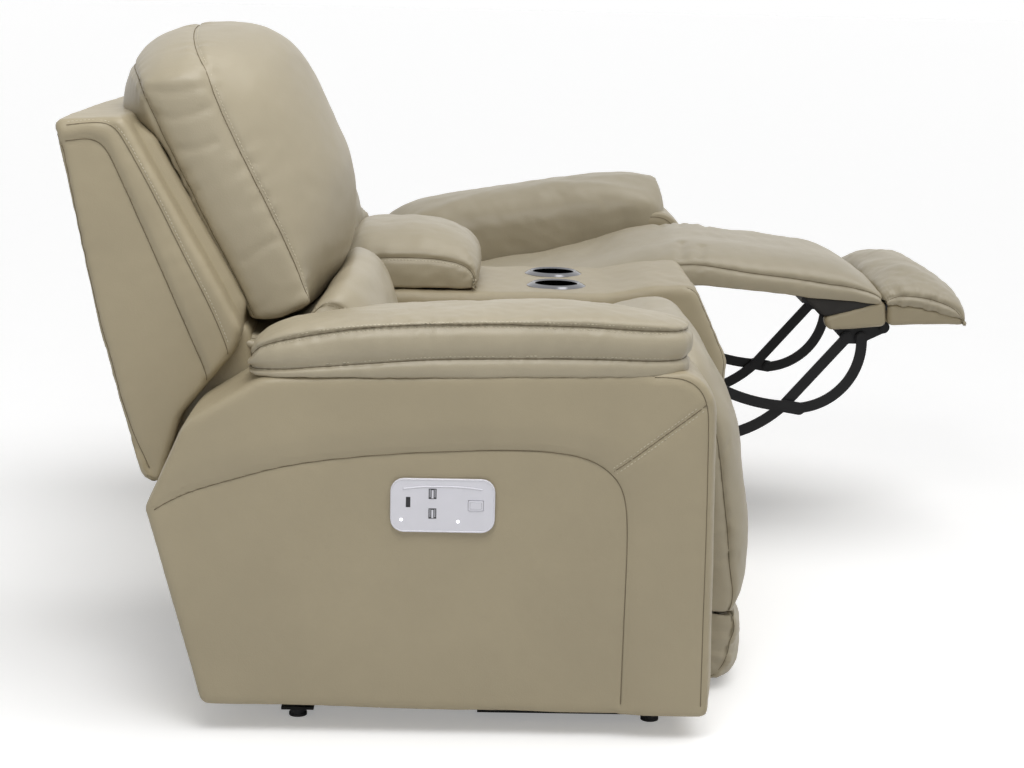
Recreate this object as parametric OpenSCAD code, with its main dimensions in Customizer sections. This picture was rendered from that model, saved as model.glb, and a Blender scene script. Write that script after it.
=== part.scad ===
// Two-seat power reclining loveseat with a fixed console between the seats.
// Side profiles are written as [forward, height]; forward is the way the sitter faces.
// Each seat is drawn upright and closed, and is then moved to where it stands.

/* [Widths] */
// Width of one seat between its arm and the console
seat_w = 550; // [500:5:600]
// Width of one arm body
arm_w = 210; // [180:5:240]
// Width of the console
console_w = 360; // [330:5:400]
// Gap on each side of a seat
side_gap = 5; // [4:0.5:8]
// How far an arm pad stands out past each side of its arm
pad_overhang = 10; // [4:1:14]
// How far each back reaches past its seat on the arm side
back_wing = 45; // [30:1:60]

/* [Heights] */
// Height of the arm bodies
arm_top = 560; // [540:5:590]
// Thickness of the arm pads
arm_pad_t = 96; // [70:2:110]
// Height of the console deck
deck_z = 560; // [545:1:570]
// Height of the top of the back frames
back_top = 906; // [890:2:930]
// Height of the top of the head pillows
pillow_top = 1048; // [1030:2:1060]
// Height of the feet
foot_h = 12; // [8:1:12]
// Height of the base tubes
base_tube_h = 16; // [12:1:16]

/* [Panels] */
// Leather and wadding over the frames
cover_t = 16; // [12:1:20]
// Thickness of the plywood panels
ply_t = 18; // [12:1:20]
// Thickness of the steel links and plates
steel_t = 4; // [3:0.5:4.5]
// Gap between neighbouring steel layers
layer_gap = 3; // [2.8:0.1:3.5]
// Width of the steel links
link_w = 22; // [18:1:24]
// Radius of the rivets
rivet_r = 5; // [4:0.5:6]
// Radial clearance of a running rivet
run_fit = 0.05; // [0.02:0.01:0.09]
// Thickness of the footrest boards
board_t = 12; // [9:1:15]

/* [Console] */
// Inner radius of the cup holders
cup_r = 40; // [36:1:44]
// Depth of the cup holders
cup_depth = 72; // [60:1:80]
// Distance between the two cup holders
cup_pitch = 156; // [130:2:170]
// Inner length of the storage bin
bin_l = 196; // [150:2:200]
// Inner width of the storage bin
bin_w = 250; // [200:2:260]
// Inner depth of the storage bin
bin_depth = 170; // [100:2:180]
// Wall of the storage bin
bin_t = 3; // [2:0.5:4]
// Width of the console lid
lid_w = 330; // [290:2:346]

/* [Power panel] */
// Length of the power panel
panel_l = 155; // [140:1:165]
// Height of the power panel
panel_h = 82; // [74:1:90]
// Thickness of the panel face
panel_t = 4; // [3:0.5:5]
// Width and height of the seat button
button_size = 22; // [18:1:24]

/* [Travel] */
// How far a reclined seat glides forward on its base
glide_out = 161; // [100:1:170]
// How far a reclined seat tips up at the front
tilt_out = 6.7; // [0:0.1:7]
// How far a reclined back leans against its seat
back_out = 17.3; // [0:0.1:20]

/* [Hidden] */

LEATHER = "#b3a78c";
STEEL = "#1d1d20";
PLY = "#b98f5c";
CHROME = "#d8dadd";
WHITE = "#eeeef2";
BLACK = "#26262a";

// Places across the loveseat, measured from its middle
seat_in = console_w / 2 + side_gap;
seat_out = seat_in + seat_w;
seat_mid = (seat_in + seat_out) / 2;
arm_in = seat_out + side_gap;
arm_out = arm_in + arm_w;
mech_half = seat_w / 2 - 35;
rail_t = 22;
layer = steel_t + layer_gap;

// Joints in the closed seat, as [forward, height]
tilt_pivot = [-60, 150];
back_pivot = [-300, 330];
knee = [383.3, 486.4];
// Link joints as they lie with the footrest out
link_a_root = [247.4, 389.4];
link_b_root = [143.2, 355.4];
crossing = [498, 207.2];
link_a_end = [528.5, 198.4];
link_b_end = [385.5, 158.4];
leg_joint_c = [637, 335.6];
leg_joint_d = leg_joint_c + [30.9, -3.5];
flip_joint_out = [715, 349];
// How far the footrest swings out, and its flip-out panel against it
leg_out = 79.2;
flip_out = 68.8;
// Turn of each link while the footrest swings out, each against its parent
link_a_turn = 77.28;
link_b_turn = 76.96;
link_c_turn = 9.34 - link_a_turn;
link_d_turn = 10.94 - link_a_turn;
// Play of the three joints that close the linkage
play_b = 3.5;
play_c = 4.9;
play_d = 5.7;
small_rivet = rivet_r - 1;
eye_r = 13;

function turned(p, o, a) =
    let (d = p - o) o + [d.x * cos(a) - d.y * sin(a), d.x * sin(a) + d.y * cos(a)];
function unit(v) = v / norm(v);
function wrap(list, i) = list[(i + len(list)) % len(list)];

// Footrest joints in the closed seat
leg_c = turned(leg_joint_c, knee, -leg_out);
leg_d = turned(leg_joint_d, knee, -leg_out);
flip_joint = turned(flip_joint_out, knee, -leg_out);

// Outline with its corners rounded: each corner is [forward, height, radius]
function rounded(c, steps = 5) = [
    for (i = [0 : len(c) - 1])
        let (p = [c[i].x, c[i].y], r = c[i][2],
             a = wrap(c, i - 1), b = wrap(c, i + 1),
             va = unit([a.x, a.y] - p), vb = unit([b.x, b.y] - p),
             half = acos(va * vb) / 2,
             o = p + unit(va + vb) * r / sin(half),
             s = p + va * r / tan(half) - o, e = p + vb * r / tan(half) - o,
             a0 = atan2(s.y, s.x),
             da = (atan2(e.y, e.x) - a0 + 540) % 360 - 180)
            each r == 0 ? [p]
                : [for (k = [0 : steps]) o + r * [cos(a0 + da * k / steps), sin(a0 + da * k / steps)]]
];

// Corners moved inwards by d, each with the radius that keeps its arc parallel
function shrunk(c, d) = [
    for (i = [0 : len(c) - 1])
        let (p = [c[i].x, c[i].y], a = wrap(c, i - 1), b = wrap(c, i + 1),
             e0 = unit(p - [a.x, a.y]), e1 = unit([b.x, b.y] - p),
             n = [-e0.y - e1.y, e0.x + e1.x], q = p + n * 2 * d / (n * n))
            [q.x, q.y, e0.x * e1.y > e0.y * e1.x ? max(0, c[i][2] - d) : c[i][2] + d]
];

// Closed smooth curve through a few points
function smooth(p, steps = 3) = [
    for (i = [0 : len(p) - 1])
        let (a = wrap(p, i - 1), b = p[i], c = wrap(p, i + 1), d = wrap(p, i + 2))
            for (k = [0 : steps - 1])
                let (t = k / steps)
                    0.5 * (2 * b + (c - a) * t + (2 * a - 5 * b + 4 * c - d) * t * t
                           + (3 * b - a - 3 * c + d) * t * t * t)
];

// Presses an outline flat against the line from a to b; the outline stays left of that line
function pressed(p, a, b) =
    let (n = [a.y - b.y, b.x - a.x] / norm(b - a))
        [for (q = p) q - n * min(0, (q - a) * n)];

// Lowest and highest corner of an outline
function corners_of(p) =
    let (f = [for (q = p) q.x], z = [for (q = p) q.y]) [[min(f), min(z)], [max(f), max(z)]];

// Outline made smaller all round, so that its width and height both shrink by 2 d
function drawn_in(p, d) =
    let (c = corners_of(p), o = (c[0] + c[1]) / 2, h = (c[1] - c[0]) / 2)
        [for (q = p) o + [(q.x - o.x) * (1 - d / h.x), (q.y - o.y) * (1 - d / h.y)]];

// Side profile made into a solid between two places across the loveseat
module across(x0, x1) {
    translate([x1, 0, 0]) rotate([90, 0, -90]) linear_extrude(x1 - x0) children();
}

// Same profile on both sides of the seat middle
module both(x0, x1) {
    for (s = [0, 1]) translate([seat_mid, 0, 0]) mirror([s, 0, 0]) across(x0, x1) children();
}

module block(x0, x1, f0, f1, z0, z1) {
    translate([x0, -f1, z0]) cube([x1 - x0, f1 - f0, z1 - z0]);
}

module turn(o, a) {
    translate([0, -o.x, o.y]) rotate([-a, 0, 0]) translate([0, o.x, -o.y]) children();
}

// Flat bar whose round ends are a hair wider than its shank
module bar(p, q, w = link_w) {
    shank = w - 0.1;
    for (e = [p, q]) translate(e) circle(d = w, $fn = 48);
    translate(p) rotate(atan2(q.y - p.y, q.x - p.x)) translate([0, -shank / 2]) square([norm(q - p), shank]);
}

// Bar bent to an arc; sag is how far it bows to the right of the way from p to q
module bow(p, q, sag, w = link_w) {
    l = norm(q - p);
    r = (l * l / 4 + sag * sag) / (2 * sag);
    half = asin(l / 2 / r);
    for (e = [p, q]) translate(e) circle(d = w, $fn = 48);
    translate(p) rotate(atan2(q.y - p.y, q.x - p.x)) translate([l / 2, r - sag])
        intersection() {
            difference() {
                circle(r = r + w / 2 - 0.05, $fn = 180);
                circle(r = r - w / 2 + 0.05, $fn = 180);
            }
            polygon([[0, 0], [-2 * r * tan(half), -2 * r], [2 * r * tan(half), -2 * r]]);
        }
}

// Layer n of the mechanism, counted inwards from the side plates
function layer_x0(n) = mech_half - steel_t - n * layer;

// Rivet from layer n into layer n + 1, with a shoulder and a head
module rivet_in(p, n, r = rivet_r, head = 0) {
    x0 = layer_x0(n + 1);
    both(x0 - 0.5, layer_x0(n) + 1) translate(p) circle(r = r, $fn = 48);
    both(x0 + steel_t + 0.3, layer_x0(n) + 1) translate(p) circle(r = max(r + 3, head), $fn = 48);
    both(x0 - 1.9, x0 - 0.4) translate(p) circle(r = max(r + 3, head), $fn = 48);
}

// Rivet from layer n outwards into layer n - 1
module rivet_out(p, n, r = rivet_r, head = 0) {
    x1 = layer_x0(n - 1) + steel_t;
    both(layer_x0(n) + steel_t - 1, x1 + 0.5) translate(p) circle(r = r, $fn = 48);
    both(layer_x0(n) + steel_t - 1, x1 - steel_t - 0.3) translate(p) circle(r = max(r + 3, head), $fn = 48);
    both(x1 + 0.4, x1 + 1.9) translate(p) circle(r = max(r + 3, head), $fn = 48);
}

// Closed padded form: a side outline carried across from x0 to x1. Its two ends are rounded
// over edge, and it is drawn in by crown from its middle to its ends
module cushion(outline, x0, x1, edge, crown, ring_steps = 3, mid_steps = 4) {
    n = len(outline);
    mid = (x0 + x1) / 2;
    half = (x1 - x0) / 2;
    round_x = [for (k = [0 : ring_steps - 1]) edge * (1 - cos(90 * k / ring_steps))];
    xs = concat(
        [for (d = round_x) x0 + d],
        [for (k = [0 : mid_steps]) x0 + edge + (x1 - x0 - 2 * edge) * k / mid_steps],
        [for (k = [ring_steps - 1 : -1 : 0]) x1 - round_x[k]]);
    last = len(xs) - 1;
    rings = [for (x = xs)
        let (s = (x - mid) / half, t = 1 - min(1, (half - abs(x - mid)) / edge))
            drawn_in(outline, 0.8 * edge * (1 - sqrt(1 - t * t)) + crown * s * s)];
    ends = [for (r = [rings[0], rings[last]]) let (c = corners_of(r)) (c[0] + c[1]) / 2];
    points = concat(
        [for (j = [0 : last]) for (p = rings[j]) [xs[j], -p.x, p.y]],
        [[xs[0], -ends[0].x, ends[0].y], [xs[last], -ends[1].x, ends[1].y]]);
    sides = [for (j = [0 : last - 1]) for (i = [0 : n - 1])
        let (a = j * n + i, b = j * n + (i + 1) % n) each [[a, b, b + n], [a, b + n, a + n]]];
    caps = [for (i = [0 : n - 1]) let (k = (i + 1) % n)
        each [[k, i, n * (last + 1)], [last * n + i, last * n + k, n * (last + 1) + 1]]];
    polyhedron(points, concat(sides, caps), convexity = 4);
}

// Floor frame
foot_r = 12;
arm_foot_x = arm_out - 90;
console_foot_x = console_w / 2 - 30;
foot_pad = 14;
tube_w = 50;
rear_tube = -233;
mid_tube = 70;
front_foot = 289;
strap_t = steel_t;
track_w = 20;
track_x0 = mech_half - 7;
track_z = foot_h + base_tube_h;
track_top = track_z + 14;
track_rear = rear_tube - tube_w;
track_front = 92;
supply_l = 170;
supply_w = 70;
supply_h = 42;

// Seat frame and its mechanism
rail_top = 390;
rail_h = 90;
tie_h = 38;
rear_rail = -270;
front_rail = 308;
motor_w = 190;
spring_t = 4;
spring_w = 16;
spring_turns = 12;
pivot_r = 8;
shoe_rear = -278;
shoe_front = -84;
shoe_l = 60;
shoe_hole = [-170, 92];
screw_z = 312;
drive_r = 10;
drive_at = link_b_root + 110 * [cos(-90 + link_b_turn / 2), sin(-90 + link_b_turn / 2)];
nut_travel = 2 * 110 * sin(link_b_turn / 2);
nut_at = [link_b_root.x - nut_travel / 2, drive_at.y - 12];

// Footrest boards
board_face = 364;
board_low = 140;
board_high = 425;
flip_start = [741, 391];
flip_slope = -18.7;
flip_l = 138;
pad_tip = [908, 352];

// Arms
arm_front = 358;
arm_rear = -468;
arm_bottom = 54;
arm_top_rear = [-300, arm_top - 9];
arm_top_front = [300, arm_top + 8];
arm_corners = [[-390, arm_bottom, 5], [arm_front + 2, arm_bottom - 7, 8], [arm_front - 3, arm_top + 9, 52],
                    [-300, arm_top - 9, 60], [-416, arm_top - 80, 60], [arm_rear, 351, 12]];
arm_block_at = [-240, 40];
panel_at = [-37, 363];
panel_box_t = 32;
button_at = [12, 364];

// Backs
back_out_x = seat_out + back_wing;
back_face_low = [-354, 590];
back_face_top = [-513, 885];
back_edge_r = 8;
back_lean = 28;
back_floor = 392;
back_panel_x = layer_x0(1) - ply_t;
arm_slot_low = 380;
arm_slot_high = 545;
back_corners = [[-479, 345, 8], [-450, 452, 60], [-364, 556, 16],
                [back_face_low.x, back_face_low.y, 16], [back_face_top.x, back_face_top.y, 30],
                [-526, back_top + 4, 8], [-625, back_top - 4, back_edge_r], [-563, 586, 0], [-500, 362, 8]];

// Console
console_front = 445;
console_rear = -430;
console_bottom = 52;
deck_front = deck_z + 18;
console_corners = [[console_rear + 40, console_bottom, 6], [console_front - 20, console_bottom, 20], [console_front + 10, 200, 60],
                        [console_front + 29, 440, 50], [410, deck_front + 2, 26], [330, deck_front - 2, 60], [250, deck_z, 40],
                        [console_rear + 46, deck_z, 30], [console_rear + 8, 470, 40], [console_rear - 8, 351, 10]];
cup_f = 159;
cup_wall = 3;
ring_r = 55.5;
bin_front = -10;
bin_lip = 12;
lid_rear = -228;
lid_front = 17;
lid_z = deck_z + bin_t + 0.3;
lid_hinge_at = [-236, deck_z + 7];
hinge_l = 260;
knuckle_r = 5;
hinge_pin_r = 2.5;
leaf_t = 2;

// Shift that puts the middle of the depth at the origin
front_tip = turned(pad_tip, tilt_pivot, tilt_out).x + glide_out;
back_corner = shrunk(back_corners, back_edge_r)[6];
rear_tip = turned(turned([back_corner.x, back_corner.y], back_pivot, back_out), tilt_pivot, tilt_out).x
           + glide_out - back_edge_r;
middle = (front_tip + rear_tip) / 2;

// Poses: $out is 0 for an upright seat and 1 for a reclined one
module on_carriage() { translate([0, -$out * glide_out, 0]) children(); }
module on_unit() { on_carriage() turn(tilt_pivot, $out * tilt_out) children(); }
module on_back() { on_unit() turn(back_pivot, $out * back_out) children(); }
module on_leg() { on_unit() turn(knee, $out * leg_out) children(); }
// Drawn as it lies with the footrest out
module on_flip() {
    on_unit() turn(knee, ($out - 1) * leg_out) turn(flip_joint_out, ($out - 1) * flip_out) children();
}
module on_link_a() { on_unit() turn(link_a_root, ($out - 1) * link_a_turn) children(); }
module on_link_b() { on_unit() turn(link_b_root, ($out - 1) * link_b_turn) children(); }
module on_link_c() { on_link_a() turn(crossing, ($out - 1) * link_c_turn) children(); }
module on_link_d() { on_link_a() turn(link_a_end, ($out - 1) * link_d_turn) children(); }
module on_nut() { on_unit() translate([0, -$out * nut_travel, 0]) children(); }
module right_seat() { $out = 0; centred() mirror([1, 0, 0]) children(); }
module left_seat() { $out = 1; centred() children(); }
module centred() { translate([0, middle, 0]) children(); }

module base_frame() color(STEEL) {
    for (s = [0, 1]) mirror([s, 0, 0]) {
        // Thin straps carry the outer feet below the arms
        block(0, arm_foot_x + foot_pad, rear_tube - tube_w, rear_tube, foot_h, foot_h + strap_t);
        block(0, arm_in - 10, rear_tube - tube_w, rear_tube, foot_h, foot_h + base_tube_h);
        block(0, arm_foot_x + foot_pad, mid_tube - tube_w, mid_tube, foot_h, foot_h + base_tube_h);
        block(arm_foot_x - foot_pad, arm_foot_x + foot_pad, mid_tube - tube_w, front_foot + foot_pad,
              foot_h, foot_h + base_tube_h);
        // Long tubes below the console join the front and the rear
        block(console_foot_x - foot_pad, console_foot_x + foot_pad, rear_tube - tube_w, front_foot + foot_pad,
              foot_h, foot_h + base_tube_h);
    }
}

module floor_feet() color(BLACK)
    for (s = [0, 1]) mirror([s, 0, 0])
        for (x = [arm_foot_x, console_foot_x], f = [rear_tube - tube_w / 2, front_foot])
            translate([x, -f, 0]) {
                cylinder(r = foot_r, h = foot_h, $fn = 48);
                cylinder(r = foot_r + 2, h = foot_h / 3, $fn = 48);
            }

module glide_rails() color(STEEL)
    for (s = [0, 1]) mirror([s, 0, 0]) for (m = [0, 1]) translate([seat_mid, 0, 0]) mirror([m, 0, 0]) {
        block(track_x0, track_x0 + track_w, track_rear, track_front, track_z, track_z + steel_t);
        block(track_x0, track_x0 + steel_t, track_rear, track_front, track_z, track_top);
        block(track_x0 + track_w - steel_t, track_x0 + track_w, track_rear, track_front, track_z, track_top);
    }

module power_supply() color(BLACK) difference() {
    block(-supply_l / 2, supply_l / 2, rear_tube - tube_w, rear_tube - tube_w + supply_w,
          foot_h + base_tube_h, foot_h + base_tube_h + supply_h);
    // Mains inlet, open at the back
    block(-supply_l / 2 + 14, -supply_l / 2 + 34, rear_tube - tube_w - 1, rear_tube - tube_w + 16,
          foot_h + base_tube_h + 12, foot_h + base_tube_h + 24);
}

module console_shell(d, x) across(-x, x) polygon(rounded(shrunk(console_corners, d)));

module console_frame() color(PLY) {
    inner_x = console_w / 2 - cover_t;
    inner = rounded(shrunk(console_corners, cover_t));
    for (s = [0, 1]) mirror([s, 0, 0])
        across(inner_x - ply_t, inner_x) difference() {
            polygon(inner);
            // Open middle of the side panel
            polygon(rounded([[-340, 120, 30], [380, 120, 30], [400, 330, 30], [-360, 330, 30]]));
        }
    intersection() {
        across(-inner_x, inner_x) polygon(inner);
        union() {
            block(-inner_x, inner_x, console_front - 200, console_front - 200 + ply_t, 240, deck_z - cover_t);
            block(-inner_x, inner_x, console_rear + 50, console_rear + 50 + ply_t, 60, deck_z - cover_t);
            block(-inner_x, inner_x, console_front - 60, console_front - 60 + ply_t, 60, 500);
            deck();
        }
    }
    for (s = [0, 1]) mirror([s, 0, 0]) for (f = [rear_tube - tube_w / 2, front_foot])
        block(inner_x - ply_t, inner_x, f - 20, f + 20, foot_h + base_tube_h, console_bottom + 20 + cover_t);
}

// Board under the leather of the console top, open for the bin and the cup holders
module deck() difference() {
    block(-console_w / 2 + cover_t, console_w / 2 - cover_t, console_rear + 50, console_front - 60,
          deck_z - cover_t - ply_t, deck_z - cover_t);
    deck_holes(deck_z - cover_t - ply_t - 1, 60);
}

module deck_holes(z, h) {
    block(-bin_w / 2 - bin_t - 1, bin_w / 2 + bin_t + 1, bin_front - bin_l - bin_t - 1, bin_front + bin_t + 1, z, z + h);
    for (x = [-1, 1] * cup_pitch / 2)
        translate([x, -cup_f, z]) cylinder(r = cup_r + cup_wall + 1, h = h, $fn = 96);
}

module console_cover() color(LEATHER) difference() {
    intersection() {
        console_shell(0, console_w / 2);
        // Rounded long edges of the deck
        rotate([90, 0, 0]) linear_extrude(2000, center = true)
            polygon(rounded([[-console_w / 2, 0, 0], [console_w / 2, 0, 0],
                             [console_w / 2, deck_front, 18], [-console_w / 2, deck_front, 18]]));
    }
    difference() {
        console_shell(cover_t, console_w / 2 - cover_t);
        block(-console_w, console_w, -1000, 1000, -100, console_bottom - 1);
    }
    // Open below
    block(-console_w / 2 + cover_t, console_w / 2 - cover_t, console_rear + 40, console_front - 40,
          console_bottom - 1, console_bottom + cover_t + 2);
    deck_holes(deck_z - cover_t - 1, 60);
}

module cup_holders() color(CHROME)
    for (x = [-1, 1] * cup_pitch / 2) translate([x, -cup_f, deck_z])
        rotate_extrude($fn = 96)
            polygon([[0, -cup_depth], [cup_r + cup_wall, -cup_depth], [cup_r + cup_wall, 0],
                     [ring_r, 0], [ring_r, 2], [ring_r - 6, 5.5], [cup_r + 5, 7.5], [cup_r, 5],
                     [cup_r, -cup_depth + cup_wall], [0, -cup_depth + cup_wall]]);

module console_bin() color(BLACK) difference() {
    union() {
        block(-bin_w / 2 - bin_t, bin_w / 2 + bin_t, bin_front - bin_l - bin_t, bin_front + bin_t,
              deck_z - bin_depth, deck_z + bin_t);
        block(-bin_w / 2 - bin_lip, bin_w / 2 + bin_lip, bin_front - bin_l - bin_lip, bin_front + bin_lip,
              deck_z, deck_z + bin_t);
    }
    block(-bin_w / 2, bin_w / 2, bin_front - bin_l, bin_front, deck_z - bin_depth + bin_t, deck_z + 20);
}

// Knuckles of the lid hinge, every second one from first
module knuckles(first) {
    step = hinge_l / 5;
    for (k = [first : 2 : 4])
        translate([-hinge_l / 2 + k * step + 0.2, -lid_hinge_at.x, lid_hinge_at.y]) rotate([0, 90, 0])
            cylinder(r = knuckle_r, h = step - 0.4, $fn = 48);
}

module lid_hinge() color(STEEL) {
    knuckles(0);
    for (k = [0 : 2 : 4]) translate([-hinge_l / 2 + k * hinge_l / 5 + 0.2, 0, 0])
        block(0, hinge_l / 5 - 0.4, lid_hinge_at.x - knuckle_r, lid_hinge_at.x, deck_z + 0.2, lid_hinge_at.y);
    block(-hinge_l / 2, hinge_l / 2, lid_hinge_at.x - 36, lid_hinge_at.x - knuckle_r, deck_z, deck_z + leaf_t);
    block(-hinge_l / 2, hinge_l / 2, lid_hinge_at.x - knuckle_r, lid_hinge_at.x, deck_z, deck_z + 0.3);
    translate([-hinge_l / 2, -lid_hinge_at.x, lid_hinge_at.y]) rotate([0, 90, 0])
        cylinder(r = hinge_pin_r, h = hinge_l, $fn = 48);
}

module lid_leaf() color(STEEL) difference() {
    union() {
        knuckles(1);
        for (k = [1 : 2 : 4]) translate([-hinge_l / 2 + k * hinge_l / 5 + 0.2, 0, 0])
            block(0, hinge_l / 5 - 0.4, lid_hinge_at.x, lid_rear, lid_hinge_at.y - 1, lid_hinge_at.y + 1);
        block(-hinge_l / 2 + hinge_l / 5 + 0.2, hinge_l / 2 - hinge_l / 5 - 0.2, lid_rear - leaf_t, lid_rear,
              lid_z + 1, lid_z + board_t);
    }
    translate([-hinge_l, -lid_hinge_at.x, lid_hinge_at.y]) rotate([0, 90, 0])
        cylinder(r = hinge_pin_r + run_fit, h = 2 * hinge_l, $fn = 48);
    // Room for the fixed knuckles
    for (k = [0 : 2 : 4]) translate([-hinge_l / 2 + k * hinge_l / 5 - 0.2, 0, 0])
        block(0, hinge_l / 5 + 0.4, lid_hinge_at.x - 20, lid_rear - leaf_t, 0, 1000);
}

module lid_board() color(PLY)
    block(-lid_w / 2 + cover_t, lid_w / 2 - cover_t, lid_rear, lid_front - 14, lid_z, lid_z + board_t);

module console_pad() color(LEATHER)
    cushion(pressed(smooth([
        [lid_rear + 4, lid_z + board_t], [-110, lid_z + board_t - 2], [-10, lid_z + board_t - 2], [lid_front - 6, lid_z + board_t + 4],
        [lid_front, lid_z + 32], [-12, lid_z + 62], [-60, lid_z + 82], [-130, lid_z + 93], [-190, lid_z + 92],
        [lid_rear + 3, lid_z + 80], [lid_rear - 1, lid_z + 40]]),
        [-300, lid_z + board_t + 0.3], [100, lid_z + board_t + 0.3]),
        -lid_w / 2, lid_w / 2, 26, 7);

module carriage() color(STEEL) {
    difference() {
        both(mech_half + 1, mech_half + 1 + steel_t) union() {
            polygon(rounded([[shoe_rear, track_top + 6, 4], [shoe_front, track_top + 6, 4],
                             [tilt_pivot.x + 24, tilt_pivot.y, 14], [tilt_pivot.x, tilt_pivot.y + 24, 14],
                             [tilt_pivot.x - 26, tilt_pivot.y, 14]]));
        }
        both(mech_half, mech_half + 10) translate(shoe_hole) circle(r = 30, $fn = 64);
    }
    // Pivot pins carry the seat
    both(mech_half - steel_t - 2, mech_half + 2) translate(tilt_pivot) circle(r = pivot_r, $fn = 64);
    both(mech_half - steel_t - 4, mech_half - steel_t - 1) translate(tilt_pivot) circle(r = pivot_r + 5, $fn = 64);
    both(mech_half + 0.3, mech_half + 2) translate(tilt_pivot) circle(r = pivot_r + 5, $fn = 64);
    // Slide shoes in the base tracks, and the tube that joins the two sides
    both(track_x0 + steel_t + 0.3, track_x0 + track_w - steel_t - 0.3) {
        for (f = [shoe_rear, shoe_front - shoe_l])
            translate([f, track_z + steel_t + 0.3]) square([shoe_l, track_top + 12 - track_z - steel_t]);
    }
    across(seat_mid - mech_half - 2, seat_mid + mech_half + 2) translate([shoe_rear + 22, track_top + 26])
        circle(r = 12, $fn = 48);
}

module side_plates() color(STEEL) {
    difference() {
        both(mech_half - steel_t, mech_half) polygon(rounded([
            [back_pivot.x - 24, back_pivot.y - 10, 14], [-200, 290, 60], [tilt_pivot.x - 26, tilt_pivot.y - 20, 14],
            [tilt_pivot.x + 26, tilt_pivot.y - 20, 14], [40, 290, 60], [150, 320, 30],
            [link_a_root.x + 24, link_a_root.y - 22, 14], [link_a_root.x + 24, rail_top + 2, 10],
            [back_pivot.x - 24, rail_top + 2, 14]]));
        both(mech_half - 10, mech_half + 10) {
            translate(tilt_pivot) circle(r = pivot_r + run_fit, $fn = 64);
            // Notch for the rear cross rail
            translate([rear_rail - 1, rail_top - tie_h - 1]) square([rail_t + 2, tie_h + 10]);
        }
    }
    rivet_in(link_a_root, 0);
    rivet_in(link_b_root, 0);
    rivet_in(back_pivot, 0, pivot_r);
}

module seat_frame() color(PLY) {
    both(mech_half, mech_half + rail_t) polygon(rounded([
        [-330, rail_top - rail_h, 10], [arm_front - 28, rail_top - rail_h, 10],
        [arm_front - 28, rail_top, 0], [-330, rail_top, 10]]));
    for (f = [rear_rail, front_rail]) {
        block(seat_mid - motor_w, seat_mid + motor_w, f, f + rail_t, rail_top - rail_h, rail_top);
        block(seat_mid - mech_half - 1, seat_mid + mech_half + 1, f, f + rail_t, rail_top - tie_h, rail_top);
    }
}

// Flat zigzag springs from the front rail to the rear rail
module seat_springs() color(STEEL)
    for (x = [-1.5 : 1.5]) translate([seat_mid + x * seat_w / 5, 0, rail_top]) linear_extrude(spring_t) {
        pitch = (front_rail - rear_rail) / spring_turns;
        for (k = [0 : spring_turns - 1]) {
            f = rear_rail + rail_t / 2 + k * pitch;
            // Each turn is a half ring that opens towards the middle
            translate([0, -f - pitch / 2]) rotate(k % 2 == 0 ? 0 : 180) difference() {
                translate([spring_w, 0]) circle(r = pitch / 2 + spring_t / 2, $fn = 32);
                translate([spring_w, 0]) circle(r = pitch / 2 - spring_t / 2, $fn = 32);
                translate([spring_w - pitch, -pitch]) square([pitch, 2 * pitch]);
            }
            translate([-spring_w, -f - spring_t / 2]) square([2 * spring_w, spring_t]);
        }
    }

module seat_cushion() color(LEATHER)
    cushion(pressed(smooth([
        [-190, rail_top + 4], [-20, rail_top + 2], [140, rail_top + 2], [215, rail_top + 12], [310, rail_top + 12],
        [347, rail_top + 34],
        [353, 500], [340, 546], [280, 556], [190, 555], [79, 533], [-16, 515], [-100, 484], [-180, 466],
        [-208, 430]], 2),
        [-300, rail_top + spring_t + 0.3], [400, rail_top + spring_t + 0.3]),
        seat_in + 3, seat_out - 6, 24, 6);

module arm_prism(d) across(arm_in + d, arm_out - d) polygon(rounded(shrunk(arm_corners, d)));

module arm_frame() color(PLY) {
    inner = rounded(shrunk(arm_corners, cover_t));
    difference() {
        union() {
            for (x = [arm_in + cover_t, arm_out - cover_t - ply_t]) across(x, x + ply_t) difference() {
                polygon(inner);
                polygon(rounded([[-330, 110, 40], [-130, 110, 40], [-130, 270, 40], [-370, 270, 40]]));
                polygon(rounded([[110, 110, 40], [300, 110, 40], [300, 440, 40], [110, 440, 40]]));
            }
            intersection() {
                across(arm_in + cover_t, arm_out - cover_t) polygon(inner);
                for (b = [[-372, 130, 22, 130], [300, 60, 20, 420], [-100, arm_top - 45, 80, 20], [-100, 150, 80, 20]])
                    block(arm_in, arm_out, b[0], b[0] + b[2], b[1], b[1] + b[3]);
            }
        }
        panel_pocket(0.5);
    }
    // Blocks that bolt the arm to the seat rail
    for (f = arm_block_at) block(seat_mid + mech_half + rail_t, arm_in + cover_t + ply_t / 2,
                                 f, f + 60, rail_top - rail_h + 15, rail_top - 15);
}

module panel_pocket(gap) {
    block(arm_out - panel_box_t - gap, arm_out + 1, panel_at.x - panel_l / 2 + 14 - gap, panel_at.x + panel_l / 2 - 14 + gap,
          panel_at.y - panel_h / 2 + 12 - gap, panel_at.y + panel_h / 2 - 12 + gap);
}

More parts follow.
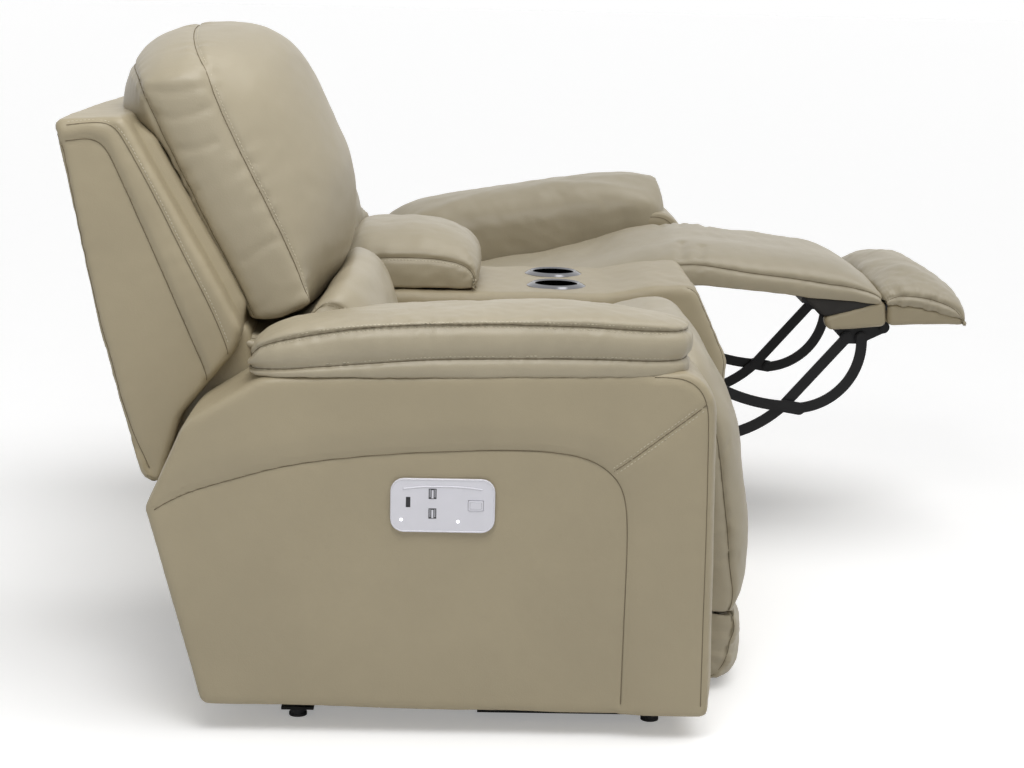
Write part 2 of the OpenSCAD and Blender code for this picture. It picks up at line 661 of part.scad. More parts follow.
module arm_cover() color(LEATHER) difference() {
    intersection() {
        arm_prism(0);
        // Rounded edges along the top, and at the front
        rotate([90, 0, 0]) linear_extrude(2000, center = true)
            polygon(rounded([[arm_in, 0, 0], [arm_out, 0, 0], [arm_out, arm_top + 8, 26], [arm_in, arm_top + 8, 26]]));
        linear_extrude(1000) polygon(rounded([[arm_in, -arm_front - 4, 22], [arm_out, -arm_front - 4, 22],
                                              [arm_out, 600, 0], [arm_in, 600, 0]]));
    }
    arm_prism(cover_t);
    block(arm_in + cover_t, arm_out - cover_t, arm_rear + 20, arm_front - cover_t, 0, arm_bottom + cover_t + 10);
    for (f = arm_block_at) block(arm_in - 10, arm_in + cover_t + 1, f - 1, f + 61, rail_top - rail_h + 14, rail_top - 14);
    panel_pocket(0.5);
}

module arm_pad() color(LEATHER)
    cushion(pressed(smooth([
        [-316, arm_top], [-150, arm_top - 8], [10, arm_top - 4], [160, arm_top], [300, arm_top + 2],
        [330, arm_top + 22], [336, arm_top + 52], [312, arm_top + arm_pad_t - 8], [240, arm_top + arm_pad_t - 1],
        [130, arm_top + arm_pad_t], [0, arm_top + arm_pad_t - 7], [-140, arm_top + arm_pad_t - 14],
        [-255, arm_top + arm_pad_t - 20], [-316, arm_top + arm_pad_t - 44], [-338, arm_top + 26]], 2),
        arm_top_rear + [0, 0.3], arm_top_front + [0, 0.3]),
        arm_in - pad_overhang, arm_out + pad_overhang, 30, 6);

module power_panel() color(WHITE) difference() {
    union() {
        across(arm_out, arm_out + panel_t) polygon(rounded([
            for (s = [[-1, -1], [1, -1], [1, 1], [-1, 1]])
                [panel_at.x + s.x * panel_l / 2, panel_at.y + s.y * panel_h / 2, 20]]));
        panel_pocket(0);
    }
    // Openings of the three charging sockets
    for (p = [[-51, 5, 3.6, 9.5], [-15, 18, 5.5, 13], [-15, -12, 5.5, 13]])
        block(arm_out - 12, arm_out + panel_t + 1, panel_at.x + p[0] - p[2] / 2, panel_at.x + p[0] + p[2] / 2,
              panel_at.y + p[1] - p[3] / 2, panel_at.y + p[1] + p[3] / 2);
    // Well of the seat button
    block(arm_out - 8, arm_out + panel_t + 1, button_at.x - button_size / 2 - 0.3, button_at.x + button_size / 2 + 0.3,
          button_at.y - button_size / 3 - 0.3, button_at.y + button_size / 3 + 0.3);
}

module seat_button() color(WHITE) {
    across(arm_out - 5, arm_out + panel_t + 1.5) polygon(rounded([
        for (s = [[-1, -1], [1, -1], [1, 1], [-1, 1]])
            [button_at.x + s.x * button_size / 2, button_at.y + s.y * button_size / 3, 2]]));
}

module drive_motor() color(STEEL) {
    block(seat_mid - 42, seat_mid + 42, rear_rail + rail_t, rear_rail + rail_t + 64, screw_z - 40, screw_z + 40);
    across(seat_mid - 15, seat_mid + 15) polygon([[rear_rail + 80, screw_z - 15], [front_rail, screw_z - 15],
                                                  [front_rail, screw_z + 15], [rear_rail + 80, screw_z + 15]]);
    translate([seat_mid, -rear_rail - 110, screw_z - 74]) cylinder(r = 30, h = 92, $fn = 64);
}

module drive_nut() color(BLACK) difference() {
    union() {
        block(seat_mid - 30, seat_mid + 30, nut_at.x - 26, nut_at.x + 26, screw_z - 22, screw_z + 24);
        for (x = [-30, 20]) block(seat_mid + x, seat_mid + x + 10, nut_at.x - 24, nut_at.x + 24, nut_at.y - 42, screw_z);
    }
    block(seat_mid - 15.3, seat_mid + 15.3, nut_at.x - 60, nut_at.x + 60, screw_z - 15.3, screw_z + 15.3);
    // Upright slots that push the drive tube
    across(seat_mid - 40, seat_mid + 40) {
        translate(nut_at + [0, -18]) circle(r = drive_r + 2.6, $fn = 48);
        translate(nut_at + [0, 12]) circle(r = drive_r + 2.6, $fn = 48);
        translate(nut_at + [-drive_r - 2.6, -18]) square([2 * drive_r + 5.2, 30]);
    }
}

// Side profile of the space inside the back cover
module back_inside() difference() {
    polygon(rounded(shrunk(back_corners, cover_t)));
    translate([-600, back_floor - 100]) square([300, 100]);
}

// Board across the back frame, drawn as a slanted bar in the side view
module cross_board(at, w, h) {
    across(seat_mid - back_panel_x - 1, back_out_x - cover_t - 1)
        translate(at) rotate(back_lean) square([w, h]);
}

module back_frame() color(PLY) {
    difference() {
        for (x = [seat_mid - back_panel_x - ply_t, seat_mid + back_panel_x, back_out_x - cover_t - ply_t])
            across(x, x + ply_t) back_inside();
        // Openings that lighten the side panels
        across(0, 1000) {
            polygon(rounded([[-540, 700, 20], [-470, 700, 20], [-520, 820, 14], [-570, 820, 14]]));
            polygon(rounded([[-510, 540, 20], [-430, 560, 20], [-460, 640, 14], [-528, 640, 14]]));
        }
    }
    cross_board([-578, 836], 60, 30);
    cross_board([-470, 650], 24, 50);
    cross_board([-475, 470], 24, 60);
    // Steel hinge arms
    difference() {
        both(layer_x0(1), layer_x0(1) + steel_t) polygon(rounded([
            [back_pivot.x - 14, back_pivot.y - 22, 14], [back_pivot.x + 20, back_pivot.y - 12, 14],
            [back_pivot.x + 12, back_pivot.y + 24, 14], [-410, 520, 14], [-458, 520, 14], [-452, 440, 20]]));
        both(0, 1000) translate(back_pivot) circle(r = pivot_r + run_fit, $fn = 64);
    }
}

module back_cover() color(LEATHER) difference() {
    intersection() {
        across(seat_in + 2, back_out_x) polygon(rounded(back_corners));
        // Rounded upper corners
        rotate([90, 0, 0]) linear_extrude(2000, center = true)
            polygon(rounded([[seat_in + 2, 300, 12], [back_out_x, 300, 12],
                             [back_out_x, back_top + 4, 34], [seat_in + 2, back_top + 4, 34]]));
    }
    across(seat_in + 2 + cover_t, back_out_x - cover_t) back_inside();
    // Low opening at the front for the hinge arms
    block(seat_in + 2 + cover_t, seat_out - cover_t, -480, -300, arm_slot_low, arm_slot_high);
}

module head_pillow() color(LEATHER)
    cushion(pressed(smooth([
        [-352, 594], [-292, 580], [-232, 630], [-194, 708], [-193, 795], [-226, 887], [-266, 967], [-320, 1026],
        [-400, pillow_top], [-490, pillow_top - 8], [-552, 1002], [-574, 940], [-560, back_top + 14], [-500, 900],
        [-440, 740]], 2),
        back_face_top + [0.4, 0], back_face_low + [0.4, 0]),
        seat_in + 4, seat_out - 8, 40, 8);

module lumbar_pad() color(LEATHER)
    cushion(pressed(smooth([
        [-330, 478], [-240, 474], [-160, 476], [-124, 500], [-118, 560], [-126, 625], [-158, 672], [-188, 672],
        [-212, 640], [-246, 594], [-292, 564], [-352, 576], [-372, 556], [-362, 510]], 2),
        back_face_low + [0.3, 0], [-364 + 0.3, 556]),
        seat_in + 4, seat_out - 8, 34, 6);

module leg_board() color(BLACK) {
    block(seat_in + 14, seat_out - 14, board_face - board_t, board_face, board_low, board_high);
    both(layer_x0(3), layer_x0(3) + steel_t) {
        for (p = [leg_c, leg_d, flip_joint]) translate(p) circle(r = eye_r, $fn = 48);
        polygon([leg_c + [0, eye_r], leg_c - [eye_r, 0], leg_d - [eye_r, 0], flip_joint - [eye_r - 2, 4],
                 flip_joint - [0, eye_r - 1], [board_face - board_t, board_low + 6], [board_face - board_t, 300]]);
    }
    rivet_out(leg_c, 3, small_rivet, small_rivet + play_c + 1.2);
    rivet_out(leg_d, 3, small_rivet, small_rivet + play_d + 1.2);
    rivet_out(flip_joint, 3);
}

module leg_pad() color(LEATHER)
    cushion(pressed(smooth([
        [362, 146], [400, 150], [434, 168], [452, 205], [455, 262], [447, 330], [430, 400], [408, 448], [380, 462],
        [362, 440], [362, 340], [362, 240]]),
        [board_face + 0.3, 600], [board_face + 0.3, 0]),
        seat_in + 3, seat_out - 3, 26, 6);

module flip_board() color(BLACK) {
    across(seat_in + 14, seat_out - 14) translate(flip_start) rotate(flip_slope) square([flip_l, board_t]);
    difference() {
        both(layer_x0(2), layer_x0(2) + steel_t) {
            translate(flip_joint_out) circle(r = eye_r + 1, $fn = 48);
            polygon([flip_joint_out + [-6, 12], flip_joint_out + [4, -13], flip_start + [64, -18], flip_start + [20, -5]]);
        }
        both(0, 1000) translate(flip_joint_out) circle(r = rivet_r + run_fit, $fn = 64);
    }
}

module flip_pad() color(LEATHER)
    cushion(pressed(smooth([
        [752, 402], [796, 387], [840, 372], [872, 360], [894, 340], pad_tip, [896, 372], [866, 400], [822, 430],
        [772, 457], [734, 467], [722, 446], [731, 420]], 2),
        flip_start + turned([0, board_t + 0.3], [0, 0], flip_slope),
        flip_start + turned([flip_l, board_t + 0.3], [0, 0], flip_slope)),
        seat_in + 3, seat_out - 3, 22, 5);

module link_a() color(STEEL) {
    difference() {
        both(layer_x0(1), layer_x0(1) + steel_t) {
            bow(link_a_root, crossing, 36);
            bar(crossing, link_a_end, link_w + 4);
        }
        both(0, 1000) translate(link_a_root) circle(r = rivet_r + run_fit, $fn = 64);
    }
    rivet_in(crossing, 1);
    rivet_in(link_a_end, 1);
}

module link_b() color(STEEL) {
    difference() {
        both(layer_x0(1), layer_x0(1) + steel_t) {
            bar(link_b_root, link_b_end);
            bar(link_b_root, drive_at, 30);
        }
        both(0, 1000) translate(link_b_root) circle(r = rivet_r + run_fit, $fn = 64);
    }
    rivet_in(link_b_end, 1, small_rivet, small_rivet + play_b + 1.2);
    across(seat_mid - layer_x0(1) - 1, seat_mid + layer_x0(1) + 1) translate(drive_at) circle(r = drive_r, $fn = 48);
}

module link_c() color(STEEL) difference() {
    both(layer_x0(2), layer_x0(2) + steel_t) {
        bow(link_b_end, crossing, 8);
        bar(crossing, leg_joint_c);
        translate(leg_joint_c) circle(r = eye_r, $fn = 48);
        translate(link_b_end) circle(r = eye_r, $fn = 48);
    }
    both(0, 1000) translate(crossing) circle(r = rivet_r + run_fit, $fn = 64);
    both(0, 1000) translate(link_b_end) circle(r = small_rivet + play_b, $fn = 64);
    both(0, 1000) translate(leg_joint_c) circle(r = small_rivet + play_c, $fn = 64);
}

module link_d() color(STEEL) difference() {
    both(layer_x0(2), layer_x0(2) + steel_t) {
        bow(link_a_end, leg_joint_d, 40);
        translate(leg_joint_d) circle(r = eye_r, $fn = 48);
    }
    both(0, 1000) translate(link_a_end) circle(r = rivet_r + run_fit, $fn = 64);
    both(0, 1000) translate(leg_joint_d) circle(r = small_rivet + play_d, $fn = 64);
}

centred() base_frame();
centred() floor_feet();
centred() glide_rails();
centred() power_supply();
centred() console_frame();
centred() console_cover();
centred() cup_holders();
centred() console_bin();
centred() lid_hinge();
centred() lid_leaf();
centred() lid_board();
centred() console_pad();
right_seat() on_carriage() carriage();  // right_carriage
right_seat() on_unit() side_plates();  // right_side_plates
right_seat() on_unit() seat_frame();  // right_seat_frame
right_seat() on_unit() seat_springs();  // right_seat_springs
right_seat() on_unit() seat_cushion();  // right_seat_cushion
right_seat() on_unit() arm_frame();  // right_arm_frame
right_seat() on_unit() arm_cover();  // right_arm_cover
right_seat() on_unit() arm_pad();  // right_arm_pad
right_seat() on_unit() power_panel();  // right_power_panel
right_seat() on_unit() seat_button();  // right_seat_button
right_seat() on_unit() drive_motor();  // right_drive_motor
right_seat() on_nut() drive_nut();  // right_drive_nut
right_seat() on_back() back_frame();  // right_back_frame
right_seat() on_back() back_cover();  // right_back_cover
right_seat() on_back() head_pillow();  // right_head_pillow
right_seat() on_back() lumbar_pad();  // right_lumbar_pad
right_seat() on_leg() leg_board();  // right_leg_board
right_seat() on_leg() leg_pad();  // right_leg_pad
right_seat() on_flip() flip_board();  // right_flip_board
right_seat() on_flip() flip_pad();  // right_flip_pad
right_seat() on_link_a() link_a();  // right_link_a
right_seat() on_link_b() link_b();  // right_link_b
right_seat() on_link_c() link_c();  // right_link_c
right_seat() on_link_d() link_d();  // right_link_d
left_seat() on_carriage() carriage();  // left_carriage
left_seat() on_unit() side_plates();  // left_side_plates
left_seat() on_unit() seat_frame();  // left_seat_frame
left_seat() on_unit() seat_springs();  // left_seat_springs
left_seat() on_unit() seat_cushion();  // left_seat_cushion
left_seat() on_unit() arm_frame();  // left_arm_frame
left_seat() on_unit() arm_cover();  // left_arm_cover
left_seat() on_unit() arm_pad();  // left_arm_pad
left_seat() on_unit() power_panel();  // left_power_panel
left_seat() on_unit() seat_button();  // left_seat_button
left_seat() on_unit() drive_motor();  // left_drive_motor
left_seat() on_nut() drive_nut();  // left_drive_nut
left_seat() on_back() back_frame();  // left_back_frame
left_seat() on_back() back_cover();  // left_back_cover
left_seat() on_back() head_pillow();  // left_head_pillow
left_seat() on_back() lumbar_pad();  // left_lumbar_pad
left_seat() on_leg() leg_board();  // left_leg_board
left_seat() on_leg() leg_pad();  // left_leg_pad
left_seat() on_flip() flip_board();  // left_flip_board
left_seat() on_flip() flip_pad();  // left_flip_pad
left_seat() on_link_a() link_a();  // left_link_a
left_seat() on_link_b() link_b();  // left_link_b
left_seat() on_link_c() link_c();  // left_link_c
left_seat() on_link_d() link_d();  // left_link_d
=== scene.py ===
# Looks of the power reclining loveseat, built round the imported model.
# Side profiles are (forward, height) in millimetres in the closed seat, as in the part's source.
# place() moves them to where each seat stands, in metres.
import math

import bmesh
import bpy
import numpy as np
from mathutils import Matrix, Vector
from mathutils.kdtree import KDTree


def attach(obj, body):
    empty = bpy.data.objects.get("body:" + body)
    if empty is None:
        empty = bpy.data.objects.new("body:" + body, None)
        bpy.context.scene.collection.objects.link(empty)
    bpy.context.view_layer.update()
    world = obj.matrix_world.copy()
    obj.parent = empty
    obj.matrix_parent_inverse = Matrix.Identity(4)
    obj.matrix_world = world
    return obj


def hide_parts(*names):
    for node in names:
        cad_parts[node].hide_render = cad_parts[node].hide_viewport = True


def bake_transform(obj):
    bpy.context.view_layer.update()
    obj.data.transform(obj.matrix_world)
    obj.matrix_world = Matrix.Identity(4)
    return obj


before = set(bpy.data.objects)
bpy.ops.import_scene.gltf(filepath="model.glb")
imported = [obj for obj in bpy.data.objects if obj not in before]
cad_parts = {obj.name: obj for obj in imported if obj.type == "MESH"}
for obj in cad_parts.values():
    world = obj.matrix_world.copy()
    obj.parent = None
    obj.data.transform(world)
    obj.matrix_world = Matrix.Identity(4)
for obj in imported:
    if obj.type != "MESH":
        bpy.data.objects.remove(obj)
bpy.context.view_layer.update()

# Where the row's Y axis meets the closed seats' forward axis, in mm
MIDDLE = 177.301
# Hinges of a seat as (forward, height), and what the part's rest pose or its range moves them by
TILT_PIVOT, BACK_PIVOT, KNEE, FLIP = (-60, 150), (-300, 330), (383.3, 486.4), (715, 349)
GLIDE, TILT, LEAN, LEG, UNFOLD = 161, 6.7, 17.3, 79.2, 68.8
# Inner and outer face of the seat's pads
PAD_IN, PAD_OUT = 188, 730
# Seams, in metres: distance of their points, radius of the dark line of painted shade in each
# groove and how far it stands out
SEAM_STEP, SEAM_RADIUS, SEAM_LIFT = 0.006, 0.0006, 0.00025
# Distance given to vertices that a seam doesn't reach
FAR = 9.0


# ---- places
def turned(p, origin, degrees):
    """Side points turned about an origin, upwards where they lie ahead of it."""
    origin = np.array(origin, float)
    u, z = (p - origin).T
    c, s = math.cos(math.radians(degrees)), math.sin(math.radians(degrees))
    return origin + np.stack([u * c - z * s, u * s + z * c], 1)


def place(points, side, group):
    """Points (across, forward, height) in mm of the closed seat, moved to the row frame in metres.
    Groups leg_out and flip_out are drawn as they lie with the footrest out."""
    points = np.array(points, float).reshape(-1, 3)
    p, out = points[:, 1:], side == "left"
    if group == "flip_out" and not out:
        p = turned(p, FLIP, -UNFOLD)
    if group in ("leg_out", "flip_out") and not out:
        p = turned(p, KNEE, -LEG)
    if out:
        if group == "back":
            p = turned(p, BACK_PIVOT, LEAN)
        if group != "console":
            p = turned(p, TILT_PIVOT, TILT) + np.array([GLIDE, 0])
    x = points[:, 0] * (1 if out or group == "console" else -1)
    return np.stack([x, MIDDLE - p[:, 0], p[:, 1]], 1) / 1000


# ---- curves
def unit(v):
    """Vectors of length 1."""
    return v / (np.linalg.norm(v, axis=1)[:, None] + 1e-12)


def run_length(path):
    """Distance along a line at each of its points."""
    return np.concatenate([[0], np.cumsum(np.linalg.norm(np.diff(path, axis=0), axis=1))])


def spline(p, steps):
    """Smooth curve through points."""
    p = np.array(p, float)
    n, out = len(p), []
    for i in range(n - 1):
        a, b, c, d = p[max(i - 1, 0)], p[i], p[i + 1], p[min(i + 2, n - 1)]
        for k in range(steps):
            t = k / steps
            out.append(0.5 * (2 * b + (c - a) * t + (2 * a - 5 * b + 4 * c - d) * t * t
                              + (3 * b - a - 3 * c + d) * t ** 3))
    out.append(p[-1])
    return np.array(out)


def spaced(p, step=None, count=None, closed=False):
    """The same line with points at even distances."""
    p = np.array(p, float)
    q = np.vstack([p, p[:1]]) if closed else p
    s = run_length(q)
    n = count or max(2, int(round(s[-1] / step)) + (0 if closed else 1))
    t = np.linspace(0, s[-1], n + 1)[:-1] if closed else np.linspace(0, s[-1], n)
    return np.stack([np.interp(t, s, q[:, k]) for k in range(p.shape[1])], 1)


def curve(points, steps=6):
    """Smooth side profile in mm with a point every 8 mm."""
    return spaced(spline(points, steps), step=8)


def rounded(corners, steps=6):
    """Outline with each corner (forward, height, radius) rounded."""
    out, n = [], len(corners)
    for i in range(n):
        p, r = np.array(corners[i][:2], float), corners[i][2]
        va = np.array(corners[i - 1][:2], float) - p
        vb = np.array(corners[(i + 1) % n][:2], float) - p
        va, vb = va / np.linalg.norm(va), vb / np.linalg.norm(vb)
        half = math.acos(max(-1, min(1, va @ vb))) / 2
        o = p + (va + vb) / np.linalg.norm(va + vb) * r / math.sin(half)
        s, e = p + va * r / math.tan(half) - o, p + vb * r / math.tan(half) - o
        a0 = math.atan2(s[1], s[0])
        da = (math.atan2(e[1], e[0]) - a0 + 3 * math.pi) % (2 * math.pi) - math.pi
        out += [o + r * np.array([math.cos(a0 + da * k / steps), math.sin(a0 + da * k / steps)])
                for k in range(steps + 1)]
    return np.array(out)


def moved_in(p, d):
    """Closed outline moved inwards by d, one amount or one for each point; anticlockwise."""
    before, after = p - np.roll(p, 1, 0), np.roll(p, -1, 0) - p
    e = unit(unit(before) + unit(after))
    return p + np.stack([-e[:, 1], e[:, 0]], 1) * np.reshape(d, (-1, 1))


def waves(p, size, seed, squeeze=(1, 1, 1)):
    """Smooth noise from -1 to 1 at points in metres; size is its length scale."""
    rng = np.random.default_rng(seed)
    total = np.zeros(len(p))
    for _ in range(9):
        k = rng.normal(size=3)
        k = k / np.linalg.norm(k) * rng.uniform(0.6, 1.7) * 2 * math.pi / size / np.array(squeeze)
        total += np.sin(p @ k + rng.uniform(0, 2 * math.pi) + 1.3 * np.sin(p @ np.roll(k, 1) * 0.4))
    return total / 4.5


# ---- meshes
def make(name, verts, faces, material, smooth=True):
    mesh = bpy.data.meshes.new(name)
    mesh.from_pydata([tuple(v) for v in verts], [], faces)
    mesh.materials.append(material)
    mesh.validate()
    if smooth:
        mesh.shade_smooth()
    o = bpy.data.objects.new(name, mesh)
    bpy.context.scene.collection.objects.link(o)
    return o


def outward(o):
    """Turns all faces of a closed mesh outwards."""
    bm = bmesh.new()
    bm.from_mesh(o.data)
    bmesh.ops.recalc_face_normals(bm, faces=bm.faces)
    bm.to_mesh(o.data)
    bm.free()
    return o


def loft(name, rings, material):
    """Closed form through rings of points with the same number of points each."""
    n, faces = len(rings[0]), []
    for j in range(len(rings) - 1):
        for i in range(n):
            k = (i + 1) % n
            faces.append((j * n + i, j * n + k, (j + 1) * n + k, (j + 1) * n + i))
    faces.append(tuple(range(n))[::-1])
    faces.append(tuple((len(rings) - 1) * n + i for i in range(n)))
    return outward(make(name, np.vstack(rings), faces, material))


def applied(o):
    """Applies all modifiers of a mesh."""
    bpy.context.view_layer.update()
    graph = bpy.context.evaluated_depsgraph_get()
    mesh = bpy.data.meshes.new_from_object(o.evaluated_get(graph))
    old = o.data
    o.modifiers.clear()
    o.data = mesh
    bpy.data.meshes.remove(old)


def remesh(o, size=0.006, smooth=2):
    """Rebuilds a form from even small faces and softens its corners."""
    m = o.modifiers.new("remesh", "REMESH")
    m.mode, m.voxel_size, m.use_smooth_shade = "VOXEL", size, True
    m = o.modifiers.new("smooth", "SMOOTH")
    m.iterations, m.factor = smooth, 0.5
    applied(o)
    o.data.shade_smooth()
    return o


def cut(o, cutter):
    """Takes a cutter's volume out of a mesh."""
    m = o.modifiers.new("cut", "BOOLEAN")
    m.operation, m.object, m.solver = "DIFFERENCE", cutter, "EXACT"
    applied(o)
    bpy.data.objects.remove(cutter)


def coords(o, what="co"):
    values = np.empty(len(o.data.vertices) * 3, np.float32)
    o.data.vertices.foreach_get(what, values)
    return values.reshape(-1, 3).astype(float)


def normals(o):
    return coords(o, "normal")


def set_coords(o, co):
    o.data.vertices.foreach_set("co", co.astype(np.float32).ravel())
    o.data.update()


def eased(path, rounds):
    """The same line without small kinks; its ends stay."""
    path = np.array(path, float)
    for _ in range(rounds):
        path[1:-1] = (path[:-2] + 2 * path[1:-1] + path[2:]) / 4
    return path


def close_to(co, path, reach):
    """Numbers of the vertices in a box round a path."""
    low, high = path.min(0) - reach, path.max(0) + reach
    return np.where(((co > low) & (co < high)).all(1))[0].tolist()


def search_tree(points, numbers):
    tree = KDTree(len(points))
    for p, i in zip(points.tolist(), numbers):
        tree.insert(p, i)
    tree.balance()
    return tree


def nearest(o, path, reach):
    """For each vertex: its distance to the path and the place along it, or FAR."""
    tree, s, co = search_tree(path, range(len(path))), run_length(path), coords(o)
    dist, along = np.full(len(co), FAR), np.zeros(len(co))
    for i in close_to(co, path, reach):
        _, k, dist[i] = tree.find(co[i])
        along[i] = s[k]
    return dist, along


def groove(o, path, depth, width, pucker=0.0, reach=0.03, pitch=0.03, seed=1):
    """Draws the surface in along a seam, with small puckers that run away from it."""
    dist, along = nearest(o, path, max(reach, 3 * width))
    rng = np.random.default_rng(seed)
    phase, mix = rng.uniform(0, 6.28), rng.uniform(0.7, 1.3)
    turns = along * 2 * math.pi / pitch
    ripple = np.sin(turns + phase) + 0.7 * np.sin(turns * 0.61 * mix + 2)
    ripple *= 0.5 + 0.5 * np.sin(turns / 7.3 + phase)
    on_seam = np.exp(-(dist / width) ** 2)
    d = -depth * on_seam
    d += pucker * ripple * np.exp(-dist / reach * 2.2) * (1 - on_seam) * (dist < FAR)
    set_coords(o, coords(o) + normals(o) * d[:, None])


def hug(o, path):
    """A path laid on a mesh, with the surface's normals, both weighed from the nearest vertices."""
    co, no, out, up = coords(o), normals(o), [], []
    close = close_to(co, path, 0.03)
    tree = search_tree(co[close], close)
    for p in path:
        found = tree.find_n(p, 6)
        w = np.array([1 / (f[2] + 0.0015) ** 2 for f in found])
        ids = [f[1] for f in found]
        n = (no[ids] * w[:, None]).sum(0)
        n /= np.linalg.norm(n) + 1e-12
        c = (co[ids] * w[:, None]).sum(0) / w.sum()
        out.append(p + n * (n @ (c - p)))
        up.append(n)
    return np.array(out), np.array(up)


def around(count):
    """Angles of even steps round a circle."""
    return np.linspace(0, 2 * math.pi, count + 1)[:-1]


def tube(path, radius, sides=6, closed=False):
    """Vertices and faces of a thin tube along a path."""
    path = np.array(path)
    ahead = np.roll(path, -1, 0) - np.roll(path, 1, 0)
    if not closed:
        ahead[0], ahead[-1] = path[1] - path[0], path[-1] - path[-2]
    ahead = unit(ahead)
    a = unit(np.cross(ahead, np.array([0.31, 0.17, 0.93])))
    b = np.cross(ahead, a)
    verts = np.array([path[i] + radius * (math.cos(t) * a[i] + math.sin(t) * b[i])
                      for i in range(len(path)) for t in around(sides)])
    n, faces = len(path), []
    for i in range(n if closed else n - 1):
        for k in range(sides):
            m, j = (k + 1) % sides, (i + 1) % n
            faces.append((i * sides + k, i * sides + m, j * sides + m, j * sides + k))
    if not closed:
        faces += [tuple(range(sides))[::-1], tuple((n - 1) * sides + k for k in range(sides))]
    return verts, faces


def rod(name, path, radius, material, sides=10, closed=False):
    verts, faces = tube(path, radius, sides, closed)
    return make(name, verts, faces, material)


def stitches(name, rows, material, pitch=0.0062, length=0.0042, radius=0.0008):
    """Thread dashes along rows of (path, normals)."""
    verts, faces = [], []
    for path, up in rows:
        s = run_length(path)
        for k in range(int(s[-1] / pitch)):
            t = (k + 0.5) * pitch
            here = np.array([np.interp(t, s, path[:, c]) for c in range(3)])
            ahead = np.array([np.interp(t + 0.001, s, path[:, c]) for c in range(3)]) - here
            n = np.array([np.interp(t, s, up[:, c]) for c in range(3)])
            ahead /= np.linalg.norm(ahead)
            n -= ahead * (n @ ahead)
            n /= np.linalg.norm(n) + 1e-12
            flat, first = np.cross(n, ahead), len(verts)
            for along, r in ((-0.5, 0.35), (-0.3, 1), (0.3, 1), (0.5, 0.35)):
                for a in range(6):
                    c, d = math.cos(a * math.pi / 3), math.sin(a * math.pi / 3)
                    out = (flat * c + n * d * 0.8) * r * radius
                    verts.append(here + ahead * along * length + out)
            for j in range(first, first + 18, 6):
                faces += [(j + a, j + b, j + 6 + b, j + 6 + a)
                          for a, b in zip(range(6), (1, 2, 3, 4, 5, 0))]
            faces.append(tuple(first + a for a in range(5, -1, -1)))
            faces.append(tuple(first + 18 + a for a in range(6)))
    return make(name, verts, faces, material)


def beside(path, up, offset):
    """Row beside a seam, at a distance across the surface."""
    return path + unit(np.cross(up, np.gradient(path, axis=0))) * offset


# ---- materials
def shader(name, color, rough, metal=0.0, **more):
    m = bpy.data.materials.new(name)
    m.use_nodes = True
    n = m.node_tree.nodes["Principled BSDF"]
    n.inputs["Base Color"].default_value = (*color, 1)
    n.inputs["Roughness"].default_value = rough
    n.inputs["Metallic"].default_value = metal
    for key, value in more.items():
        n.inputs[key].default_value = value
    return m, m.node_tree, n


def node(tree, kind, **inputs):
    n = tree.nodes.new(kind)
    for key, value in inputs.items():
        n.inputs[key].default_value = value
    return n


def in_place(tree, texture):
    """Lays a texture out in the object's own coordinates."""
    where = tree.nodes.new("ShaderNodeTexCoord")
    tree.links.new(where.outputs["Object"], texture.inputs["Vector"])
    return texture


def noise(tree, scale, detail=4.0, rough=0.55):
    return in_place(tree, node(tree, "ShaderNodeTexNoise", Scale=scale, Detail=detail,
                               Roughness=rough))


def ramp(tree, value, low, high, at=(0.35, 0.65)):
    r = tree.nodes.new("ShaderNodeValToRGB")
    r.color_ramp.elements[0].position, r.color_ramp.elements[1].position = at
    r.color_ramp.elements[0].color, r.color_ramp.elements[1].color = (*low, 1), (*high, 1)
    tree.links.new(value, r.inputs["Fac"])
    return r.outputs["Color"]


def bump(tree, height, strength, distance, after=None):
    b = node(tree, "ShaderNodeBump", Strength=strength, Distance=distance)
    tree.links.new(height, b.inputs["Height"])
    if after is not None:
        tree.links.new(after, b.inputs["Normal"])
    return b.outputs["Normal"]


def leather(name, color, rough=0.4):
    """Semi-gloss upholstery leather: fine pebbled grain, soft creases and slight mottling."""
    m, tree, n = shader(name, color, rough,
                        **{"Specular IOR Level": 0.45, "Coat Weight": 0.06, "Coat Roughness": 0.3})
    c = np.array(color)
    mottle = ramp(tree, noise(tree, 5.0, 5.0).outputs["Fac"], tuple(c * 0.965), tuple(c * 1.03))
    tree.links.new(mottle, n.inputs["Base Color"])
    sheen = noise(tree, 30.0)
    r = node(tree, "ShaderNodeMapRange")
    r.inputs["To Min"].default_value, r.inputs["To Max"].default_value = rough - 0.06, rough + 0.1
    tree.links.new(sheen.outputs["Fac"], r.inputs["Value"])
    tree.links.new(r.outputs["Result"], n.inputs["Roughness"])
    pebble = in_place(tree, node(tree, "ShaderNodeTexVoronoi", Scale=620.0))
    pebble.feature = "SMOOTH_F1"
    creases = bump(tree, noise(tree, 16.0, 6.0, 0.6).outputs["Fac"], 0.16, 0.005)
    grain = bump(tree, pebble.outputs["Distance"], 0.25, 0.0006, creases)
    tree.links.new(grain, n.inputs["Normal"])
    return m


def painted(name, color, rough, grain=260.0, strength=0.12, metal=0.0, vary=0.1, **more):
    """Paint, plastic or metal with a fine surface texture and uneven colour."""
    m, tree, n = shader(name, color, rough, metal, **more)
    c = np.array(color)
    worn = ramp(tree, noise(tree, 24.0).outputs["Fac"], tuple(c * (1 - vary)),
                tuple(np.minimum(c * (1 + vary), 1)))
    tree.links.new(worn, n.inputs["Base Color"])
    fine = noise(tree, grain, 3.0)
    tree.links.new(bump(tree, fine.outputs["Fac"], strength, 0.0005), n.inputs["Normal"])
    return m


